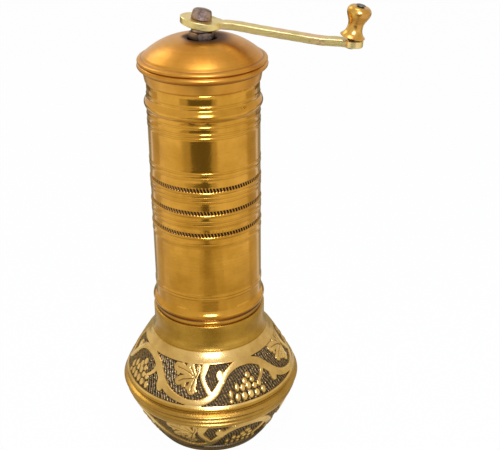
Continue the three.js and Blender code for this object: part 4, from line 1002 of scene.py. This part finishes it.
profile = [(HOLE_R, 198.9), (HOLE_R + 0.15, 199.12), (7.2, 199.45), (8.0, 199.75)]
profile += [(r, float(dome_z(r))) for r in np.linspace(8.8, 25.6, 34)]
profile += [(25.95, 191.93), (26.25, 191.66), (26.55, 191.52), (26.9, 191.46), (27.25, 191.36)]
turns = np.radians(np.linspace(72, -78, 12))
profile += list(zip(27.3 + 0.95 * np.cos(turns), 190.46 + 0.78 * np.sin(turns)))
profile += [(27.2, 189.7), (24.1, 189.7), (23.9, 189.5), (23.9, 187.6), (23.7, 187.4)]
profile += [(23.1, 187.4), (22.9, 187.6)]
profile += [(r, float(dome_z(r)) - DOME_WALL) for r in np.linspace(22.7, 8.6, 20)]
profile += [(7.3, 198.0), (HOLE_R + 0.15, 197.6), (HOLE_R, 197.8)]
rings, _ = plain_rings(profile, LID_COLUMNS)
points, faces = skin(rings)
reach = np.hypot(points[:, 0], points[:, 1])
# painted shade along the trough at the dome's foot
painted_trough_shade = TROUGH_SHADE * (abs(points[:, 2] - TROUGH_Z) < 0.12) * (reach > 26)
bearing = np.arctan2(points[:, 1], points[:, 0]) - math.radians(SHADOW_AND_GREASE_SIDE)
# darker round the hole: old grease, with the crank's painted shadow and the nut's painted reflection
shadow_and_grease = step_up(12.5 + 3.5 * np.cos(bearing), 6.9, reach + 0.4 * np.sin(5 * bearing))
make_piece(
    "lid_dome_spun", points, faces, lid_brass, "lid", ["lid_dome"],
    np.maximum(SHADOW_AND_GREASE_DARK * shadow_and_grease, painted_trough_shade),
)

# %% [markdown]
# The crank
#
# The crank was sawn from flat bar: an eye with a square hole, a straight arm, and a round pad
# that carries the knob. A curve object with two holes could be extruded, but it can't be bent
# afterwards as easily as a mesh. So the outline is drawn once as points, and the flat faces
# between it and the two holes are filled with triangles by a Blender routine. The arm is filed
# along its edges, so the outline is drawn twice on each side, the second time a little smaller.
# At last the whole plate is bent: the eye leans back, and the arm swings down and then flattens
# out, as a bar does that was straightened by eye with a hammer.

# %% Draw the crank's outline
CRANK_REACH, CRANK_T, CRANK_W = 64.9, 2.9, 5.8
EYE_R, EYE_HALF_W, PAD_R = 9.2, 8.0, 4.0
ARM_START, ARM_END, ARM_POINTS = 9.4, 61.4, 53


def arc(centre, radius, start, end, steps, squash=1.0):
    turn = np.linspace(start, end, steps)
    return np.column_stack((centre + radius * np.cos(turn), squash * radius * np.sin(turn)))


def crank_outline():
    eye_turn = math.asin(CRANK_W / 2 / EYE_HALF_W)
    pad_turn = math.asin(CRANK_W / 2 / PAD_R)
    eye = arc(0, EYE_R, eye_turn, 2 * math.pi - eye_turn, 64, EYE_HALF_W / EYE_R)
    arm_x = np.linspace(ARM_START, ARM_END, ARM_POINTS)
    lower = np.column_stack((arm_x, np.full(ARM_POINTS, -CRANK_W / 2)))
    pad = arc(CRANK_REACH, PAD_R, pad_turn - math.pi, math.pi - pad_turn, 30)
    return np.vstack((eye, lower, pad, lower[::-1] * (1, -1)))


def inset(outline, by):
    """The outline moved inwards, for one that runs counterclockwise."""
    before, after = np.roll(outline, 1, 0), np.roll(outline, -1, 0)
    way = after - before
    way /= np.linalg.norm(way, axis=1)[:, None]
    return outline + by * np.column_stack((-way[:, 1], way[:, 0]))


outline = crank_outline()
following = np.roll(outline, -1, 0)
area = 0.5 * np.sum(outline[:, 0] * following[:, 1] - following[:, 0] * outline[:, 1])
print(f"crank outline: {len(outline)} points, {area:.0f} mm2")

# %% Fill the crank's flat faces
KNOB_REACH = 64.0
SQUARE_HOLE = 4.8
PIN_HOLE_R, PIN_HOLE_POINTS = 1.5, 24
FILED, HOLE_FILED = 0.22, 0.15  # how much the file took off the outer edges and the holes

h = SQUARE_HOLE / 2
side = np.linspace(-h, h, 9)[:-1]
square = np.vstack(
    (
        np.column_stack((side, np.full(8, -h))),
        np.column_stack((np.full(8, h), side)),
        np.column_stack((-side, np.full(8, h))),
        np.column_stack((np.full(8, -h), -side)),
    )
)
filed_pin_r = PIN_HOLE_R + HOLE_FILED
pin_hole = arc(KNOB_REACH, PIN_HOLE_R, 0, 2 * math.pi, PIN_HOLE_POINTS + 1)[:-1]
filed_pin_hole = arc(KNOB_REACH, filed_pin_r, 0, 2 * math.pi, PIN_HOLE_POINTS + 1)[:-1]
outer_loops = [outline, square, pin_hole]
filed_loops = [inset(outline, FILED), inset(square, -HOLE_FILED), filed_pin_hole]
sizes = [len(loop) for loop in outer_loops]
starts = np.cumsum([0] + sizes)
flat = np.vstack(filed_loops)
count = len(flat)
edges = []
for start, size in zip(starts, sizes):
    edges += [(start + i, start + (i + 1) % size) for i in range(size)]
corners, _, triangles, origins, _, _ = delaunay_2d_cdt([Vector(p) for p in flat], edges, [], 1, 1e-6)
assert len(corners) == count, "the filling added or dropped a point"


def in_a_hole(middle):
    flat_side = filed_pin_r * math.cos(math.pi / PIN_HOLE_POINTS)
    in_square = max(abs(middle[0]), abs(middle[1])) <= h + HOLE_FILED
    return in_square or math.hypot(middle[0] - KNOB_REACH, middle[1]) <= flat_side


filled = [tuple(origins[v][0] for v in triangle) for triangle in triangles]
top = [face for face in filled if not in_a_hole(flat[list(face)].mean(axis=0))]
print(f"crank face: {len(top)} triangles, {len(filled) - len(top)} taken out of the holes")

# %% Build, bend and place the crank
CRANK_TILT, EYE_BEND = math.radians(3.5), math.radians(6.5)
EYE_BEND_X, EYE_Z = 5.5, 205.881
CRANK_BENDS = [(9.8, 0), (16, 0), (26, -0.75), (38, -1.45), (51, -2.15), (59, -1.85), (72, -1.8)]


def crank_line(x):
    """How far the bent bar lies above or below the straight one."""
    bends = flowing(CRANK_BENDS, 8)
    lean = math.tan(EYE_BEND)
    xs, zs = np.array([(-20, 20 * lean), (EYE_BEND_X, -EYE_BEND_X * lean), *bends]).T
    return np.interp(x, xs, zs)


def wavering(x, y):
    """Hammer and file marks: the faces aren't quite flat."""
    return 0.05 * np.sin(0.45 * x + 1) * np.cos(0.5 * y) + 0.035 * np.sin(1.1 * x + 0.7 * y)


edge_z = CRANK_T / 2
layers = [
    (filed_loops, edge_z), (outer_loops, edge_z - FILED), (outer_loops, FILED - edge_z),
    (filed_loops, -edge_z),
]
points = np.vstack(
    [np.column_stack((np.vstack(loops), np.full(count, z))) for loops, z in layers]
)
points[:, 2] += crank_line(points[:, 0]) + wavering(points[:, 0], points[:, 1])
faces = top + [tuple(v + 3 * count for v in face[::-1]) for face in top]
a, b, c = flat[list(top[0])]
top_faces_up = np.cross(b - a, c - a) > 0
for level in range(3):
    for start, size in zip(starts, sizes):
        for i in range(size):
            a, b = start + i + level * count, start + (i + 1) % size + level * count
            faces.append((a, b, b + count, a + count)[:: -1 if top_faces_up else 1])
tilt = Matrix.Translation((0, 0, EYE_Z)) @ Matrix.Rotation(CRANK_TILT, 4, "Y")
placed = np.array([tilt @ Vector(p) for p in points])
crank_brass = metal(
    "crank_brass", (0.88, 0.69, 0.28), (0.58, 0.46, 0.15), (0.22, 0.36), patches=110, rings=0.0,
    specks=0.35, bump=0.14, scratches=0.6, tint=(0.72, 0.42, 0.22),
)
make_piece(
    "filed_crank", placed, faces, crank_brass, "crank", ["crank_arm"], sharp=28
)

# %% [markdown]
# Knob, pin and washer
#
# The knob is turned brass, wide at its foot, narrow where the fingers grip, and full at the head.
# It turns freely on a pin that is riveted through the crank's pad. All of them lean outwards with
# the arm. Rings could be tilted one by one, but it is simpler to make the pieces upright and then
# to place them all by one matrix.

# %% Turn the knob
PAD_DROP = 1.8
KNOB_LEAN = math.radians(9.5)
WASHER_Z = 3.2 * math.sin(KNOB_LEAN) + 0.15
KNOB_Z = WASHER_Z + 0.55
BASE_R, WAIST_R, WAIST_Z, HEAD_R, HEAD_Z, TOP_R, KNOB_H = 5.2, 3.2, 5.0, 5.05, 10.6, 3.1, 12.9

pad_place = Matrix.Translation((KNOB_REACH, 0, CRANK_T / 2 - PAD_DROP))
knob_place = tilt @ pad_place @ Matrix.Rotation(KNOB_LEAN, 4, "Y")
knob_brass = metal(
    "knob_brass", (0.82, 0.5, 0.12), (0.58, 0.31, 0.05), (0.18, 0.3), patches=120, rings=0.08,
    specks=0.25, bump=0.08, tint=(0.5, 0.22, 0.05),
)


def placed_rings(name, profile, columns, place, finish, body, nodes, looped=True):
    """A turned piece that is made upright and then placed by a matrix."""
    rings, _ = plain_rings(profile, columns)
    points, faces = skin(rings, looped)
    points = np.array([place @ Vector(p) for p in points])
    make_piece(name, points, faces, finish, body, nodes)


def between(start, end, steps):
    """A profile that leaves one point and reaches the other without a corner."""
    t = np.linspace(0, 1, steps)
    ease = t * t * (3 - 2 * t)
    return list(zip(start[0] + (end[0] - start[0]) * ease, start[1] + (end[1] - start[1]) * t))


t = np.linspace(0, 1, 16)
turns = np.linspace(0, math.pi / 2, 12)[1:]
profile = [(1.5, 0.1), (1.7, 0), (5.05, 0), (BASE_R, 0.13)]
profile += list(zip(WAIST_R + (BASE_R - WAIST_R) * (1 - t) ** 3, 0.4 + (WAIST_Z - 0.4) * t))
profile += between((WAIST_R, WAIST_Z), (HEAD_R, HEAD_Z), 16)[1:]
profile += list(
    zip(TOP_R + (HEAD_R - TOP_R) * np.cos(turns), HEAD_Z + (KNOB_H - HEAD_Z) * np.sin(turns))
)
profile += [(2.1, KNOB_H - 0.08), (1.75, KNOB_H - 0.25), (1.5, KNOB_H - 0.3)]
profile = [(r, KNOB_Z + z) for r, z in profile]
placed_rings("turned_knob", profile, 64, knob_place, knob_brass, "handle", ["knob"])

# %% Turn the washer and the pin
turned_brass = metal("turned_brass", (0.6, 0.36, 0.09), (0.42, 0.24, 0.05), (0.26, 0.4))
dull_steel = metal("dull_steel", (0.24, 0.22, 0.19), (0.13, 0.11, 0.09), (0.35, 0.5), specks=0.4)

low, high = WASHER_Z, WASHER_Z + 0.4
profile = [(1.5, low + 0.05), (1.55, low), (3.1, low), (3.2, low + 0.08), (3.2, high - 0.08)]
profile += [(3.1, high), (1.55, high), (1.5, high - 0.05)]
placed_rings(
    "thin_knob_washer", profile, 48, knob_place, turned_brass, "crank",
    ["knob_washer"],
)
foot = -CRANK_T - 1.7 * math.sin(KNOB_LEAN) - 0.15
head = KNOB_Z + KNOB_H + 0.3
profile = [(1.3, foot - 0.5), (1.7, foot - 0.35), (1.7, foot - 0.1), (1.6, foot), (1.3, foot)]
profile += [(1.2, foot + 0.1), (1.2, head - 0.1), (1.25, head), (1.9, head), (2.0, head + 0.1)]
profile += [(1.85, head + 0.32), (1.2, head + 0.46), (0.7, head + 0.5)]
placed_rings(
    "riveted_pin", profile, 40, knob_place, dull_steel, "crank", ["knob_pin"],
    looped=False,
)

# %% [markdown]
# Nut, spacer and cap screw
#
# The shaft ends in three dark steel parts: a hexagon nut that shows in the lid's hole, a round
# spacer, and above the crank a rough cap screw with a slot. A nut's corners are rounded off
# above and below by a cone. A Boolean with a real cone would do it, but here each ring simply
# takes the smaller of the hexagon's radius and the cone's, which gives the curved edges of a real
# nut. The cap's slot can't be made of rings, so that one is sawn by a Boolean.

# %% Make the nut and the spacer
NUT_ACROSS, NUT_FOOT_Z, NUT_TOP_Z = 10.2, 198.8, 202.3
NUT_COLUMNS, CHAMFER_ROWS = 144, 7
NUT_FACE_IN = 0.3  # the flat face ends this far inside the hexagon's sides

dark_steel = metal(
    "dark_steel", (0.42, 0.3, 0.2), (0.12, 0.085, 0.055), (0.24, 0.42), patches=260, rings=0.12,
    specks=0.55, bump=0.35,
)


def hexagon(radius, across):
    turn = np.arange(NUT_COLUMNS) * (2 * np.pi / NUT_COLUMNS)
    face = (turn + np.pi / 6) % (np.pi / 3) - np.pi / 6
    return np.minimum(across / 2 / np.cos(face), radius)


face_r = NUT_ACROSS / 2 - NUT_FACE_IN
widening = NUT_ACROSS / math.sqrt(3) - face_r
cone = [(face_r + widening * t, 0.55 * widening * t) for t in np.linspace(0, 1, CHAMFER_ROWS)]
rings = [circle(hexagon(r, NUT_ACROSS), NUT_FOOT_Z + z, NUT_COLUMNS) for r, z in cone]
rings += [circle(hexagon(r, NUT_ACROSS), NUT_TOP_Z - z, NUT_COLUMNS) for r, z in cone[::-1]]
bore = [(3.55, NUT_TOP_Z), (3.3, NUT_TOP_Z - 0.25), (3.3, NUT_FOOT_Z + 0.25), (3.55, NUT_FOOT_Z)]
rings += [circle(r, z, NUT_COLUMNS) for r, z in bore]
points, faces = skin(rings)
make_piece(
    "chamfered_nut", points, faces, dark_steel, "drive", ["stack_nut"], sharp=25
)
profile = [(3.3, 202.45), (3.45, 202.3), (4.3, 202.3), (4.5, 202.5), (4.5, 203.3), (4.3, 203.5)]
profile += [(3.45, 203.5), (3.3, 203.35)]
placed_rings(
    "shaft_spacer", profile, 64, Matrix(), dark_steel, "drive", ["spacer_ring"]
)

# %% Turn the cap screw
CAP_Z, EYE_TILT = 207.481, CRANK_TILT + EYE_BEND
CAP_COLUMNS = 72
rusty_steel = metal(
    "rusty_steel", (0.5, 0.35, 0.25), (0.15, 0.1, 0.068), (0.34, 0.55), patches=330, rings=0.05,
    specks=0.6, bump=0.6,
)


def wobbly_ring(r, z, strength):
    """A ring of the rough head, which was never turned quite round."""
    turn = np.arange(CAP_COLUMNS) * (2 * np.pi / CAP_COLUMNS)
    r = r + strength * (np.sin(7 * turn + r) + 0.6 * np.sin(13 * turn + 2 * r))
    return circle(r, z, CAP_COLUMNS)


shank = [(0.7, CAP_Z - 6), (1.0, CAP_Z - 5.7), (1.0, CAP_Z - 0.2)]
head = [circle(1.0, 0.0, CAP_COLUMNS), wobbly_ring(4.25, 0.0, 0.02), wobbly_ring(4.47, 0.3, 0.02)]
head += [wobbly_ring(4.4 - 0.3 * k, 0.6 + 2.3 * k, 0.03) for k in (0.2, 0.5, 0.8)]
for turn in np.linspace(0.15, math.pi / 2 - 0.12, 9):
    head.append(wobbly_ring(4.0 * math.cos(turn) ** 0.8, 3.1 + math.sin(turn), 0.02))
cap_place = Matrix.Translation((0, 0, CAP_Z)) @ Matrix.Rotation(EYE_TILT, 4, "Y")
head = [np.array([cap_place @ Vector(p) for p in ring]) for ring in head]
points, faces = skin([circle(r, z, CAP_COLUMNS) for r, z in shank] + head, looped=False)
cap_screw = make_piece(
    "slotted_cap", points, faces, rusty_steel, "cap", ["cap_screw"], sharp=45
)

# %% Saw the cap's slot
CAP_H = 4.1
SLOT_DEEP, SLOT_WIDE = 0.9, 0.8
SAW_LONG, SAW_TALL = 14, 1.6

saw_mesh = bpy.data.meshes.new("slot_saw")
saw = bmesh.new()
bmesh.ops.create_cube(saw, size=1.0)
bmesh.ops.scale(saw, vec=Vector((SAW_LONG, SLOT_WIDE, SAW_TALL)) * MM, verts=saw.verts)
saw_z = CAP_H - SLOT_DEEP + SAW_TALL / 2
bmesh.ops.translate(saw, vec=Vector((0, 0, saw_z)) * MM, verts=saw.verts)
bmesh.ops.rotate(saw, matrix=Matrix.Rotation(EYE_TILT, 3, "Y"), verts=saw.verts)
bmesh.ops.translate(saw, vec=Vector((0, 0, CAP_Z)) * MM, verts=saw.verts)
saw.to_mesh(saw_mesh)
saw.free()
saw_object = bpy.data.objects.new("slot_saw", saw_mesh)
bpy.context.collection.objects.link(saw_object)
cutting = cap_screw.modifiers.new("slot", "BOOLEAN")
cutting.object = saw_object
cutting.solver = "EXACT"
cut = bpy.data.meshes.new_from_object(
    cap_screw.evaluated_get(bpy.context.evaluated_depsgraph_get())
)
cap_screw.modifiers.clear()
cap_screw.data = cut
cut.materials.clear()
cut.materials.append(rusty_steel)
bpy.data.objects.remove(saw_object)
print("cap screw after its slot:", len(cut.polygons), "faces")

# %% [markdown]
# The working parts inside
#
# The burrs, the bearing and the screws are only seen when the mill is taken apart, and their
# solids have the right shape already. They could be made again here, but nothing would be gained.
# They keep the frame's meshes and get a finish that suits the metal each is made of.

# %% Dress the inner parts
bright_steel = metal("bright_steel", (0.42, 0.42, 0.41), (0.3, 0.3, 0.3), (0.25, 0.42), specks=0.3)
burr_iron = metal(
    "burr_iron", (0.16, 0.15, 0.14), (0.08, 0.075, 0.07), (0.4, 0.6), patches=200, rings=0.1,
    specks=0.4, bump=0.3, metallic=0.9,
)
bronze = metal("bronze", (0.5, 0.26, 0.1), (0.34, 0.16, 0.06), (0.3, 0.45), rings=0.1)
INNER = [
    (antique_brass, ["foot_disc"]),
    (turned_brass, ["spigot_ring", "bearing_stirrup", "adjusting_nut", "spider"]),
    (burr_iron, ["outer_burr", "inner_burr"]),
    (bright_steel, ["burr_screw_1", "burr_screw_2", "burr_screw_3", "burr_washer", "burr_nut"]),
    (bright_steel, ["stirrup_screw_1", "stirrup_screw_2", "thrust_stud"]),
    (dark_steel, ["shaft"]),
    (bronze, ["spider_bush"]),
]
for finish, names in INNER:
    for name in names:
        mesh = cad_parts[name].data
        mesh.materials.clear()
        mesh.materials.append(finish)
print(sum(len(names) for finish, names in INNER), "inner parts dressed")

# %% [markdown]
# Last sizes
#
# The dressed mill must be as large as the measured one, so both boxes are gathered side by side,
# and the visual one is printed. A ruler in the viewport would show it too, but only once.

# %% Gather the sizes and print the visual box
sizes = {
    "cad": [list(corner) for corner in cad_box],
    "visual": [list(corner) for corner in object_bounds()],
}
print("visual box in metres:", [round(v, 4) for corner in sizes["visual"] for v in corner])
